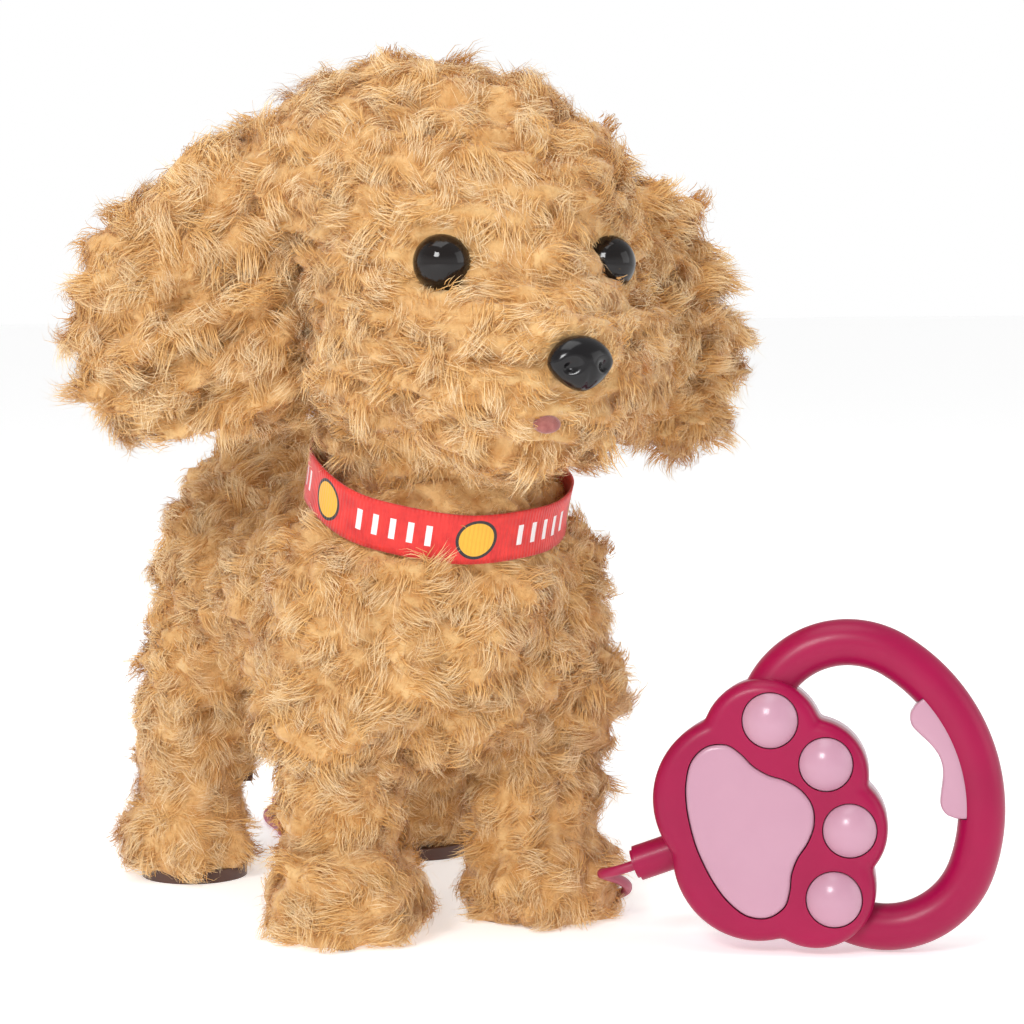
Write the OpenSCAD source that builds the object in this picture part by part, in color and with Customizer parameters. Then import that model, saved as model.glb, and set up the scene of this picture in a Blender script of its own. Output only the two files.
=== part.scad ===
// Interactive walking plush dog with a wired paw-shaped remote.
// The dog faces -Y and stands on z = 0, with its right side towards -X.
// Inside the plush a gearbox swings four legs, nods the head and wags the tail.

/* [Dog] */
// Height of the walking legs' pivots above the floor
hip_z = 78; // [74:1:82]
// Y place of the front pivot
front_hip_y = -44; // [-46:1:-42]
// Y place of the rear pivot
rear_hip_y = 55; // [53:1:57]
// Sideways place of each front foot
front_foot_x = 29; // [28:1:30]
// Sideways place of each hind foot
rear_foot_x = 40; // [39:1:41]
// Radius of a plush leg
leg_r = 20; // [19:0.5:20.5]
// Radius of a plush paw
paw_r = 23; // [21.5:0.5:23]
// Greatest swing of a leg each way, degrees
leg_swing = 8; // [4:1:8]
// Radius of the chest
chest_r = 50; // [49:0.5:52]
// Radius of the rump
rump_r = 48; // [47:0.5:49]
// Height of the body's centre line
body_z = 95; // [94:1:96]

/* [Head] */
// Radius of the ball of the head
head_r = 54; // [52:0.5:56]
// Radius of the muzzle
muzzle_r = 35; // [33:0.5:36]
// Radius of the hard skull shell
skull_r = 38; // [36:0.5:38]
// Radius of an eye
eye_r = 8; // [7:0.5:8.5]
// Width of the nose
nose_w = 19.5; // [17:0.5:21]
// Tilt of the collar, front end down, degrees
collar_tilt = 16; // [12:1:18]
// Width of the collar ribbon
collar_w = 15; // [12:1:16]

/* [Remote] */
// Turn of the remote about the vertical, degrees
remote_turn = -35; // [-40:1:-27]
// Roll of the remote in its own plane, degrees
remote_roll = 20.4; // [20:0.1:21]
// Depth of the front cover
front_depth = 12; // [12:0.5:13]
// Depth of the back cover
back_depth = 18; // [18:0.5:19]
// Travel of every button
button_travel = 1.2; // [0.8:0.1:1.4]
// Travel of the trigger
trigger_travel = 2.5; // [1.5:0.5:2.5]
// Radius of the handle's tube
ring_r = 6.7; // [6.3:0.1:6.9]

/* [Cord] */
// Diameter of the cord
cord_d = 3; // [3:0.1:3.2]
// Diameter across the middle of the coil's turns
coil_d = 33; // [30:1:36]

/* [Hidden] */
$fn = 64;
far = 400;
fit = 0.05;
gap = 0.3;

// The whole object's centre stands over the origin
frame_shift = [-6, 24, 0];

// Gearbox case
case_half = 17;
case_wall = 2;
case_y = [-58, 68];
case_z = [66, 116];
axle_r = 2;
axle_half = 29.7;
crank_y = 5;
crank_z = 92;
crank_throw = 3.5;
crank_pin_r = 1.5;
crank_disc_r = 8;
screw_r = 1.2;
screw_boss_r = 3.2;
screw_head_r = 2.3;
screw_well_r = 2.6;
cable_way_r = 2.5;
lever_slot_z = [104, 113];
board_z = 104;
board_t = 1.4;
screw_spots = [[-52, 72], [62, 72], [-52, 110], [52, 110.5]];

// Gears, all of module 1 with thin teeth
crank_teeth = 30;
idler_teeth = 24;
pinion_teeth = 9;
gear_x = [6.5, 9.5];
idler_dir = 200;
pinion_dir = 130;
idler_y = crank_y + (crank_teeth + idler_teeth) / 2 * cos(idler_dir);
idler_z = crank_z + (crank_teeth + idler_teeth) / 2 * sin(idler_dir);
pinion_y = idler_y + (idler_teeth + pinion_teeth) / 2 * cos(pinion_dir);
pinion_z = idler_z + (idler_teeth + pinion_teeth) / 2 * sin(pinion_dir);
crank_phase = idler_dir;
idler_phase = idler_dir + 180 + 180 / idler_teeth;
mesh_part = (pinion_dir - idler_phase) * idler_teeth / 360;
pinion_phase = pinion_dir + 180 - (0.5 - mesh_part) * 360 / pinion_teeth;
motor_r = 8;

// Legs
rod_x = [18.3, 21.3];
arm_x = [22, 28];
arm_half = 6;
lever_z = 14;
boss_r = 9;
boot_r = 12;
boot_top = 36;
foot_bar_z = [30, 40];
lever_half = 4;
rod_eye_r = 5;
rod_half = 3;
yoke_half = [12, 9];
yoke_wall = 3;
paw_top = 18.6;
sole_r = 17;
sole_t = 4;
leg_cut_r = 30;
drum_r = 29.5;

// Head and neck
head_c = [0, -64, 203];
muzzle_c = [0, -97, 168];
skull_c = [0, -62, 200];
skull_wall = 2.5;
pivot_y = -48;
pivot_z = 158;
neck_axle_r = 1.5;
neck_r = 37.5;
collar_c = [0, -45, 132];
collar_t = 1.5;
neck_top = 11;
neck_play = 6.5;
neck_well_r = 15;
post_half = 5;
lug_x = [5.6, 9.6];
lug_half = 6;
stem_hole_r = 1.8;
eye_stem_r = 1.6;
nose_stem_r = 1.5;
eye_c = [27, -103, 200];
nose_c = [0, -133.5, 173];
tongue_c = [-4.5, -122, 154.5];
ear_c = [81, -28, 190];
ear_size = [34, 15, 52];
ear_turn = 25;
ear_lean = -28;

// Tail
tail_pivot_y = 74;
tail_fur_r = 9;
tail_len = 30;
tail_lever_z = [107, 111];
tail_lever_y = [95, 99];
tail_lever_half = 1.5;
tail_lever_top = 140;

// Remote, in its own frame: u along the handle, v across, w out of the face
remote_at = [67.5, -112, 35.3];
remote_tilt = 85.2;
shell_wall = 2;
ring_u = 35.9;
ring_side_r = 51.4;
ring_end_r = 26;
ring_side_c = -19.8;
ring_end_c = 15.9;
ring_join = 38.76;
ring_bore_r = 3;
trigger_r = [37.9, 47.2];
trigger_span = 23;
trigger_half_w = 5;
toes = [[16.6, 27, 8], [27.4, 10, 7.7], [27.4, -10, 7.7], [16.6, -27, 8]];
button_flange = 0.9;
toe_rise = 3.4;
remote_screw_r = 1.1;
remote_boss_r = 2.5;
remote_well_r = 2.1;
remote_board_w = [1.4, 2.8];
mat_top = 4;
dome_h = 2;
door_screw_u = 16;
flange_w = [7.7, 9.6];
cell_r = 7.1;
cell_u = [-4.2, 10.4];
cell_half_l = 25.2;
cell_w = -8.9;
door_u = [-12.5, 19];
door_half_v = 26.5;
door_t = 1.8;
remote_screw_spots = [[1, 29.5], [1, -29.5], [33, 0], [-19.3, 9], [-19.3, -9]];
gland_r = 5.2;
gland_end = -35.6;

// Free cord, from the remote to the coil and from the coil to the body
cord_r = cord_d / 2;
cord_sides = 8;
remote_run = [
    [39.8, -93.4, 22.6], [36.7, -91.3, 21.2], [34.7, -89.1, 20.2], [33.8, -86, 19.4],
    [34.6, -82.9, 18.6], [37, -80.4, 17.6], [40.6, -78, 16.2], [45, -75, 14.4],
    [49.3, -71.4, 12.2], [52.8, -66.8, 9.8], [55, -61.4, 7.2], [56.2, -55, 5],
    [56.8, -48, 3.2], [57.2, -40, 2], [57.8, -32, 1.6], [59, -23, 1.6],
    [60.8, -14, 1.6], [63, -5, 1.6], [65.2, 4, 1.6], [67, 14, 1.6],
    [68, 24, 1.6], [68.3, 34, 1.6], [68.3, 44, 1.6], [68.1, 54, 1.6],
    [67.6, 64, 1.6], [66.6, 74, 1.6], [64.6, 83, 1.6], [61.6, 91, 1.6],
    [58, 98, 1.6], [54.4, 105, 1.6], [51.6, 112, 1.6], [50.5, 118, 1.6]
];
body_run = [
    [17.5, 118, 1.6], [16.6, 111, 1.6], [14, 104.5, 1.6], [10.4, 98.6, 1.8],
    [6.8, 92.8, 3], [4, 87.2, 6], [2, 82.4, 11], [0.8, 78.6, 18],
    [0.2, 76, 26], [0, 74.6, 34], [0, 74, 42], [0, 74, 50]
];
coil_c = [34, 118, 0];
coil_rows = 3;
coil_cols = 2;
body_gland_c = [0, 74, 50];
gland_foot_r = 5;
gland_tab = 12;
gland_tab_half = 4;

// ---------- shared helpers ----------

module in_frame() {
    translate(frame_shift) children();
}

module along_x(from, to, r) {
    translate([from, 0, 0]) rotate([0, 90, 0]) cylinder(r = r, h = to - from);
}

// A box between two corners
module block(low, high) {
    translate(low) cube(high - low);
}

// Rod along X at a place in the Y-Z plane
module rod_at(y, z, from, to, r) {
    translate([0, y, z]) along_x(from, to, r);
}

// Children drawn at the left (1) or right (-1) side
module on_side(side) {
    if (side > 0) children();
    else mirror([1, 0, 0]) children();
}

// ---------- gears ----------

// Outline of a spur gear of module 1 with thin straight teeth
module gear_outline(teeth, phase) {
    root = teeth / 2 - 1.1;
    tip = teeth / 2 + 0.7;
    circle(r = root);
    for (i = [0 : teeth - 1]) {
        rotate(phase + i * 360 / teeth)
            polygon([[root - 0.3, -0.85], [tip, -0.3], [tip, 0.3], [root - 0.3, 0.85]]);
    }
}

// Gear whose outline's X axis points along +Y and whose Y axis points up
module gear(y, z, teeth, phase, bore) {
    translate([gear_x[0], y, z]) rotate([90, 0, 90])
        linear_extrude(gear_x[1] - gear_x[0])
            difference() {
                gear_outline(teeth, phase);
                circle(r = bore);
            }
}

// ---------- case and drive ----------

module case_half_shell() {
    difference() {
        union() {
            difference() {
                block([0, case_y[0], case_z[0]], [case_half, case_y[1], case_z[1]]);
                block([-1, case_y[0] + case_wall, case_z[0] + case_wall],
                      [case_half - case_wall, case_y[1] - case_wall, case_z[1] - case_wall]);
            }
            for (s = screw_spots) rod_at(s[0], s[1], 0, case_half - 1, screw_boss_r);
        }
        for (y = [front_hip_y, rear_hip_y]) rod_at(y, hip_z, -1, far, axle_r + fit);
        rod_at(crank_y, crank_z, -1, far, crank_disc_r + fit);
        // Slot for the tail lever
        block([-1, 60, lever_slot_z[0]], [9, far, lever_slot_z[1]]);
        // Cable way to the cord gland
        translate([0, body_gland_c[1] - 10, case_z[0] - 1]) cylinder(r = cable_way_r, h = 5);
    }
}

module case_left() {
    color("gainsboro") in_frame() difference() {
        case_half_shell();
        for (s = screw_spots) rod_at(s[0], s[1], -1, 12, screw_r + fit);
    }
}

module case_right() {
    color("gainsboro") in_frame() mirror([1, 0, 0]) difference() {
        case_half_shell();
        for (s = screw_spots) rod_at(s[0], s[1], -1, far, screw_r + 0.3);
        for (s = screw_spots) rod_at(s[0], s[1], 12, far, screw_well_r);
    }
}

module case_screws() {
    color("silver") in_frame() for (s = screw_spots) {
        rod_at(s[0], s[1], -12, 11, screw_r);
        rod_at(s[0], s[1], -14, -12, screw_head_r);
    }
}

module motor() {
    color("slategray") in_frame() {
        rod_at(pinion_y, pinion_z, -14, 3, motor_r);
        rod_at(pinion_y, pinion_z, 3, 4, 3);
        rod_at(pinion_y, pinion_z, 4, 12, 1);
    }
}

module motor_pinion() {
    color("white") in_frame()
        gear(pinion_y, pinion_z, pinion_teeth, pinion_phase, 1 + fit);
}

module idler_gear() {
    color("white") in_frame()
        gear(idler_y, idler_z, idler_teeth, idler_phase, axle_r + fit);
}

// Large gear on a shaft whose end discs turn in the case walls and carry the crank pins
module crank_gear() {
    color("white") in_frame() {
        gear(crank_y, crank_z, crank_teeth, crank_phase, 4);
        rod_at(crank_y, crank_z, -12.5, 12.5, 5);
        for (side = [-1, 1]) on_side(side) rod_at(crank_y, crank_z, 12, 17.4, crank_disc_r);
        rod_at(crank_y + crank_throw, crank_z, 17, 21, crank_pin_r);
        rod_at(crank_y - crank_throw, crank_z, -21, -17, crank_pin_r);
    }
}

module idler_axle() {
    color("silver") in_frame() rod_at(idler_y, idler_z, 2, case_half - case_wall, axle_r);
}

module front_hip_axle() {
    color("silver") in_frame() rod_at(front_hip_y, hip_z, -axle_half, axle_half, axle_r);
}

module rear_hip_axle() {
    color("silver") in_frame() rod_at(rear_hip_y, hip_z, -axle_half, axle_half, axle_r);
}

module speaker() {
    color("dimgray") in_frame() translate([-7, 38, case_z[0] + case_wall]) {
        cylinder(r = 7, h = 3);
        translate([0, 0, 3]) cylinder(r = 4, h = 4);
    }
}

module main_board() {
    color("darkgreen") in_frame() {
        top = board_z + board_t;
        block([-13, 18, board_z], [5, 50, top]);
        block([-10, 24, top], [-3, 31, top + 1.6]);
        block([-6, 38, top], [1, 43, top + 3.1]);
    }
}

// ---------- legs ----------

module leg_frame(side, hip_y, foot_x) {
    color("saddlebrown") in_frame() on_side(side) difference() {
        union() {
            translate([foot_x, hip_y, 0]) cylinder(r = sole_r, h = sole_t);
            translate([foot_x, hip_y, sole_t]) cylinder(r = boot_r, h = boot_top - sole_t);
            block([arm_x[0], hip_y - arm_half, boot_top], [arm_x[1], hip_y + arm_half, hip_z]);
            block([arm_x[0], hip_y - arm_half, foot_bar_z[0]],
                  [foot_x, hip_y + arm_half, foot_bar_z[1]]);
            rod_at(hip_y, hip_z, arm_x[0], arm_x[1], boss_r);
            block([arm_x[0], hip_y - lever_half, hip_z],
                  [arm_x[1], hip_y + lever_half, hip_z + lever_z]);
            rod_at(hip_y, hip_z + lever_z, arm_x[0], arm_x[1], lever_half);
            rod_at(hip_y, hip_z + lever_z, rod_x[0], arm_x[0] + 1, axle_r);
        }
        rod_at(hip_y, hip_z, arm_x[0] - 1, far, axle_r + fit);
    }
}

// Plush leg whose top is hollowed by a drum about the hip
module leg_fur(side, hip_y, foot_x) {
    color("burlywood") in_frame() on_side(side) difference() {
        union() {
            translate([foot_x, hip_y, 0.6]) cylinder(r = leg_r, h = 58);
            translate([foot_x, hip_y, 0.6]) cylinder(r = paw_r - 2, h = 2);
            translate([foot_x, hip_y, 2.6]) cylinder(r = paw_r, h = paw_top - 2.6);
            translate([foot_x, hip_y, paw_top]) cylinder(r1 = paw_r, r2 = leg_r, h = 6);
        }
        rod_at(hip_y, hip_z, 0, far, leg_cut_r);
        translate([foot_x, hip_y, -1]) cylinder(r = sole_r + gap, h = sole_t + 1 + gap);
        translate([foot_x, hip_y, 0]) cylinder(r = boot_r + gap, h = boot_top + gap);
        block([arm_x[0] - gap, hip_y - arm_half - gap, foot_bar_z[0] - gap],
              [foot_x + gap, hip_y + arm_half + gap, foot_bar_z[1] + gap]);
        block([arm_x[0] - gap, hip_y - arm_half - gap, foot_bar_z[0]],
              [arm_x[1] + gap, hip_y + arm_half + gap, hip_z]);
    }
}

// Rod that ties one side's front and rear legs, with an open yoke for the crank pin
module link_rod(side) {
    z = hip_z + lever_z;
    color("whitesmoke") in_frame() on_side(side) difference() {
        union() {
            block([rod_x[0], front_hip_y, z - rod_half], [rod_x[1], rear_hip_y, z + rod_half]);
            for (y = [front_hip_y, rear_hip_y]) rod_at(y, z, rod_x[0], rod_x[1], rod_eye_r);
            block([rod_x[0], crank_y - yoke_half[0], z - yoke_half[1]],
                  [rod_x[1], crank_y + yoke_half[0], z + yoke_half[1]]);
        }
        for (y = [front_hip_y, rear_hip_y]) rod_at(y, z, 0, far, axle_r + fit);
        block([0, crank_y - yoke_half[0] + yoke_wall, z - yoke_half[1] + yoke_wall],
              [far, crank_y + yoke_half[0] - yoke_wall, z + yoke_half[1] - yoke_wall]);
    }
}

// ---------- body ----------

module body_outline() {
    intersection() {
        union() {
            translate([0, front_hip_y + 6]) circle(r = chest_r);
            translate([0, rear_hip_y - 11]) circle(r = rump_r);
            polygon([[0, front_hip_y + 6], [chest_r, front_hip_y + 6],
                     [rump_r, rear_hip_y - 11], [0, rear_hip_y - 11]]);
        }
        translate([0, -far]) square([far, 2 * far]);
    }
}

// Children in the frame of the tilted neck, whose axis leans forward
module on_neck() {
    translate(collar_c) rotate([collar_tilt, 0, 0]) children();
}

// Room for one leg: all that lies further from the hip than the drum, within the swing
module leg_room(foot_x, hip_y) {
    reach = 58;
    spread = 46 + leg_swing;
    translate([foot_x - paw_r - 1.5, hip_y, hip_z]) rotate([90, 0, 90])
        linear_extrude(far) difference() {
            polygon([[0, 0], [-reach * tan(spread), -reach], [reach * tan(spread), -reach]]);
            circle(r = drum_r);
        }
}

// Slot in the drum for the swinging arm
module arm_room(hip_y) {
    reach = 40;
    side = arm_half + 1 + reach * tan(leg_swing + 1);
    translate([arm_x[0] - 0.5, hip_y, hip_z]) rotate([90, 0, 90])
        linear_extrude(arm_x[1] - arm_x[0] + 1)
            polygon([[-arm_half - 2, 0], [-side, -reach], [side, -reach], [arm_half + 2, 0]]);
}

module torso_fur() {
    color("burlywood") in_frame() difference() {
        union() {
            difference() {
                translate([0, 0, body_z]) rotate([-90, 0, 0])
                    rotate_extrude() body_outline();
                on_neck() translate([0, 0, -collar_w / 2 - gap]) cylinder(r = 90, h = 80);
            }
            on_neck() translate([0, 0, -30]) cylinder(r = neck_r, h = 30 + neck_top);
        }
        block([-case_half - 0.5, case_y[0] - 0.5, case_z[0] - 0.5],
              [case_half + 0.5, case_y[1] + 0.5, case_z[1] + 0.5]);
        block([-30, case_y[0], 68], [30, case_y[1] - 2, 104]);
        for (side = [-1, 1]) on_side(side) {
            leg_room(front_foot_x, front_hip_y);
            leg_room(rear_foot_x, rear_hip_y);
            arm_room(front_hip_y);
            arm_room(rear_hip_y);
        }
        // Well for the neck post
        translate([0, pivot_y, case_z[1] - 1]) cylinder(r = neck_well_r, h = 60);
        // Slot for the tail lever's swing
        block([-9, 60, 105], [9, far, 114]);
        // Hole and side slot for the cord's gland
        translate([0, body_gland_c[1], 40]) cylinder(r = gland_foot_r + gap, h = 30);
        block([-gland_tab_half - gap, body_gland_c[1] - gland_tab - 0.5, case_z[0] - 1.3],
              [gland_tab_half + gap, body_gland_c[1], case_z[0] + 0.2]);
    }
}

module collar() {
    color("crimson") in_frame() on_neck() difference() {
        translate([0, 0, -collar_w / 2]) cylinder(r = neck_r + gap + collar_t, h = collar_w);
        translate([0, 0, -collar_w]) cylinder(r = neck_r + gap, h = 2 * collar_w);
    }
}

module body_gland() {
    color("dimgray") in_frame() translate(body_gland_c) difference() {
        union() {
            cylinder(r1 = 3.2, r2 = 4.4, h = 10);
            translate([0, 0, 10]) cylinder(r = gland_foot_r, h = 5);
            translate([-gland_tab_half, -gland_tab, 15])
                cube([2 * gland_tab_half, gland_tab, 0.9]);
        }
        translate([0, 0, -1]) cylinder(r = cord_r + fit, h = 30);
    }
}

// ---------- neck ----------

module neck_post() {
    color("gainsboro") in_frame() difference() {
        union() {
            block([-10, pivot_y - 8, case_z[1]], [10, pivot_y + 8, case_z[1] + 3]);
            block([-post_half, pivot_y - post_half, case_z[1]],
                  [post_half, pivot_y + post_half, pivot_z]);
            rod_at(pivot_y, pivot_z, -post_half, post_half, 5.5);
        }
        rod_at(pivot_y, pivot_z, -10, 10, neck_axle_r + fit);
    }
}

module neck_axle() {
    color("silver") in_frame() rod_at(pivot_y, pivot_z, -10, 10, neck_axle_r);
}

// ---------- head ----------

module skull_solid() {
    difference() {
        union() {
            difference() {
                translate(skull_c) sphere(r = skull_r);
                translate(skull_c) sphere(r = skull_r - skull_wall);
            }
            for (side = [-1, 1]) on_side(side) {
                block([lug_x[0], pivot_y - lug_half, pivot_z], [lug_x[1], pivot_y + lug_half, 168]);
                rod_at(pivot_y, pivot_z, lug_x[0], lug_x[1], lug_half);
            }
        }
        rod_at(pivot_y, pivot_z, -lug_x[0], lug_x[0], 9);
        rod_at(pivot_y, pivot_z, -far / 2, far / 2, neck_axle_r + fit);
        for (side = [-1, 1]) on_side(side) eye_line() cylinder(r = stem_hole_r, h = 60);
        translate([0, nose_c[1] - 10, nose_c[2]]) rotate([-90, 0, 0])
            cylinder(r = stem_hole_r, h = 60);
    }
}

module skull_front() {
    color("whitesmoke") in_frame() intersection() {
        skull_solid();
        block([-far, -far, 0], [far, skull_c[1], far]);
    }
}

module skull_back() {
    color("whitesmoke") in_frame() intersection() {
        skull_solid();
        block([-far, skull_c[1], 0], [far, far, far]);
    }
}

// Children along the line from inside the skull out through one eye, eye centre at h = 30
module eye_line() {
    away = eye_c - [head_c[0], head_c[1], eye_c[2] - 4];
    reach = norm(away);
    turn = atan2(away[0], -away[1]);
    rise = asin(away[2] / reach);
    translate(eye_c) rotate([0, 0, turn]) rotate([90 - rise, 0, 0])
        translate([0, 0, -30]) children();
}

module eye(side) {
    color("black") in_frame() on_side(side) eye_line() {
        translate([0, 0, 30]) sphere(r = eye_r);
        translate([0, 0, 13]) cylinder(r = eye_stem_r, h = 18);
    }
}

module eye_washers() {
    color("white") in_frame() for (side = [-1, 1]) on_side(side) eye_line() difference() {
        translate([0, 0, 13.5]) cylinder(r = 4, h = 1.4);
        cylinder(r = eye_stem_r + fit, h = 60);
    }
}

module head_fur() {
    color("burlywood") in_frame() difference() {
        union() {
            translate(head_c) sphere(r = head_r);
            translate(muzzle_c) sphere(r = muzzle_r);
        }
        translate(skull_c) sphere(r = skull_r + gap);
        // Underside, parallel to the top of the neck
        on_neck() translate([0, 0, neck_top + neck_play - 200]) cylinder(r = 150, h = 200);
        translate([0, pivot_y, 120]) cylinder(r = neck_well_r, h = 60);
        for (side = [-1, 1]) on_side(side) eye_line() {
            translate([0, 0, 30]) sphere(r = eye_r + gap);
            cylinder(r = eye_stem_r + gap, h = 30);
            translate([0, 0, 30]) cylinder(r = eye_r + gap, h = 20);
        }
        nose_room();
        tongue_shape(0.2);
    }
}

// Flat oval ear that hangs from the side of the head
module ear(side) {
    color("burlywood") in_frame() on_side(side) difference() {
        translate(ear_c) rotate([0, 0, ear_turn]) rotate([0, ear_lean, 0])
            scale(ear_size) sphere(r = 1, $fn = 36);
        translate(head_c) sphere(r = head_r + 0.1);
    }
}

// Rounded three-cornered nose on a post
module nose() {
    r = 5;
    side = nose_w / 2 - r;
    color("black") in_frame() {
        translate(nose_c) hull() {
            for (x = [-side, side]) translate([x, 0, 2.4]) sphere(r = r, $fn = 32);
            translate([0, 0.6, -3]) sphere(r = r - 0.4, $fn = 32);
        }
        translate([0, nose_c[1] + 3, nose_c[2]]) rotate([-90, 0, 0])
            cylinder(r = nose_stem_r, h = 34);
    }
}

module nose_room() {
    translate([0, nose_c[1] - 20, nose_c[2]]) rotate([-90, 0, 0]) {
        cylinder(r = nose_w / 2 + 0.5, h = 26);
        cylinder(r = nose_stem_r + gap, h = 80);
    }
}

module tongue_shape(grow) {
    translate(tongue_c) rotate([115, 0, 0]) translate([0, 0, -grow])
        cylinder(r = 4 + grow, h = 5.6 + 2 * grow);
}

module tongue() {
    color("rosybrown") in_frame() tongue_shape(0);
}

// ---------- tail ----------

module tail_lever() {
    color("gainsboro") in_frame() {
        translate([0, tail_pivot_y, 106]) cylinder(r = 3.5, h = 6.5);
        half = tail_lever_half;
        block([-half, 67, tail_lever_z[0]], [half, tail_lever_y[1], tail_lever_z[1]]);
        block([-half, tail_lever_y[0], tail_lever_z[0]],
              [half, tail_lever_y[1], tail_lever_top]);
    }
}

module tail_fur() {
    color("burlywood") in_frame() difference() {
        translate([0, 98, 122]) rotate([-4, 0, 0]) {
            cylinder(r = tail_fur_r, h = tail_len);
            sphere(r = tail_fur_r);
            translate([0, 0, tail_len]) sphere(r = tail_fur_r);
        }
        half = tail_lever_half + 0.2;
        block([-half, tail_lever_y[0] - 0.2, 90],
              [half, tail_lever_y[1] + 0.2, tail_lever_top + 0.2]);
        block([-half, 80, tail_lever_z[0] - 0.2],
              [half, tail_lever_y[1] + 0.2, tail_lever_z[1] + 0.2]);
    }
}

// ---------- remote ----------

module in_remote() {
    in_frame() translate(remote_at) rotate([0, 0, remote_turn])
        rotate([remote_tilt, 0, 0]) rotate([0, 0, remote_roll]) children();
}

// Paw outline of the housing, grown or shrunk by moving every arc
module paw_outline(grow) {
    for (v = [-1, 1]) {
        translate([0, 8.5 * v]) circle(r = 24.5 + grow);
        translate([12.5, 22.5 * v]) circle(r = 17.3 + grow);
        translate([22, 8 * v]) circle(r = 16.5 + grow);
    }
    translate([-24.5 - grow, -8.5]) square([40, 17]);
    translate([12, -8]) square([26.5 + grow, 16]);
}

// Heart-like outline of the large pad button
module pad_outline(grow) {
    for (v = [-1, 1]) translate([-2.8, 17 * v]) circle(r = 8.8 + grow);
    translate([11.2, 0]) circle(r = 8.6 + grow);
    polygon([[-11.6 - grow, -17], [-13.9 - grow, -9], [-15 - grow, 0], [-13.9 - grow, 9],
             [-11.6 - grow, 17], [4.4 + grow, 17 + grow], [8.4 + grow, 13],
             [13, 8.4 + grow], [13, -8.4 - grow], [8.4 + grow, -13],
             [4.4 + grow, -17 - grow]]);
}

// Part of the oval handle's tube: a turned profile on each of its three arcs
module ring_arcs(start) {
    translate([ring_u + ring_side_c, 0, 0]) rotate([0, 0, -ring_join])
        rotate_extrude(angle = 2 * ring_join) translate([ring_side_r, 0]) children();
    for (v = [-1, 1])
        translate([ring_u, v * ring_end_c, 0]) rotate([0, 0, v > 0 ? ring_join : -start])
            rotate_extrude(angle = start - ring_join) translate([ring_end_r, 0]) children();
}

module trigger_slot() {
    translate([ring_u + ring_side_c, 0, -trigger_half_w - 0.2])
        linear_extrude(2 * trigger_half_w + 0.4)
            ring_sector(30, trigger_r[1] + trigger_travel + 0.8, trigger_span + 1.5);
}

// Flat sector between two radii
module ring_sector(inner, outer, span) {
    difference() {
        intersection() {
            circle(r = outer);
            polygon([[0, 0], [far, -far * tan(span)], [far, far * tan(span)]]);
        }
        circle(r = inner);
    }
}

module ring_half(front) {
    color("mediumvioletred") in_remote() difference() {
        ring_arcs(136) difference() {
            circle(r = ring_r);
            circle(r = ring_bore_r);
            translate([-far / 2, front ? -far : 0]) square([far, far]);
        }
        trigger_slot();
        if (front)
            for (t = [toes[0], toes[3]])
                translate([t[0], t[1], flange_w[0] - button_travel - 0.4])
                    cylinder(r = t[2] + button_flange + 0.4, h = far);
    }
}

module ring_front_half() {
    ring_half(true);
}

module ring_back_half() {
    ring_half(false);
}

// Notches where the handle and the cord gland enter the housing
module cover_notches() {
    ring_arcs(141) circle(r = ring_r + 0.1);
    rotate([0, -90, 0]) cylinder(r = gland_r + 0.1, h = 40);
}

module paw_front_cover() {
    color("mediumvioletred") in_remote() difference() {
        union() {
            difference() {
                union() {
                    linear_extrude(front_depth - 1) paw_outline(0);
                    linear_extrude(front_depth) paw_outline(-1);
                }
                translate([0, 0, -1]) linear_extrude(front_depth - 1) paw_outline(-shell_wall);
            }
            for (s = remote_screw_spots)
                translate([s[0], s[1], 0.1]) cylinder(r = remote_boss_r, h = 10.5);
        }
        for (s = remote_screw_spots)
            translate([s[0], s[1], -1]) cylinder(r = remote_screw_r + fit, h = 8);
        linear_extrude(far) pad_outline(0.25);
        for (t = toes) translate([t[0], t[1], 0]) cylinder(r = t[2] + 0.2, h = far);
        cover_notches();
    }
}

module door_outline(grow) {
    translate([door_u[0] - grow, -door_half_v - grow])
        square([door_u[1] - door_u[0] + 2 * grow, 2 * door_half_v + 2 * grow]);
}

module paw_back_cover() {
    color("pink") in_remote() difference() {
        union() {
            difference() {
                translate([0, 0, -back_depth]) linear_extrude(back_depth) paw_outline(0);
                translate([0, 0, 2 - back_depth]) linear_extrude(far) paw_outline(-shell_wall);
            }
            for (s = remote_screw_spots)
                translate([s[0], s[1], 1 - back_depth])
                    cylinder(r = remote_boss_r, h = back_depth - 1.1);
        }
        for (s = remote_screw_spots) translate([s[0], s[1], -far]) {
            cylinder(r = 1.4, h = 2 * far);
            cylinder(r = remote_well_r, h = far - 9);
        }
        translate([0, 0, -far]) linear_extrude(far - 10) door_outline(0.3);
        cover_notches();
    }
}

// Door plate with its captive screw; it lifts straight off the back
module battery_door() {
    color("pink") in_remote() {
        translate([0, 0, -back_depth]) linear_extrude(door_t) difference() {
            door_outline(0);
            translate([door_screw_u, 0]) circle(r = 1.6);
        }
    }
    color("silver") in_remote()
        translate([door_screw_u, 0, -back_depth + 0.2]) cylinder(r = 1.5, h = 1.4);
}

module battery_cells() {
    color("darkslategray") in_remote() for (u = cell_u)
        translate([u, cell_half_l, cell_w]) rotate([90, 0, 0]) {
            cylinder(r = cell_r, h = 2 * cell_half_l - 1.5);
            cylinder(r = 2.6, h = 2 * cell_half_l);
        }
}

module battery_contacts() {
    color("silver") in_remote() for (v = [-1, 1]) for (u = cell_u)
        translate([u - 4, v * (cell_half_l + 0.4) - 0.3, cell_w - 4]) cube([8, 0.6, 8]);
}

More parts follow.
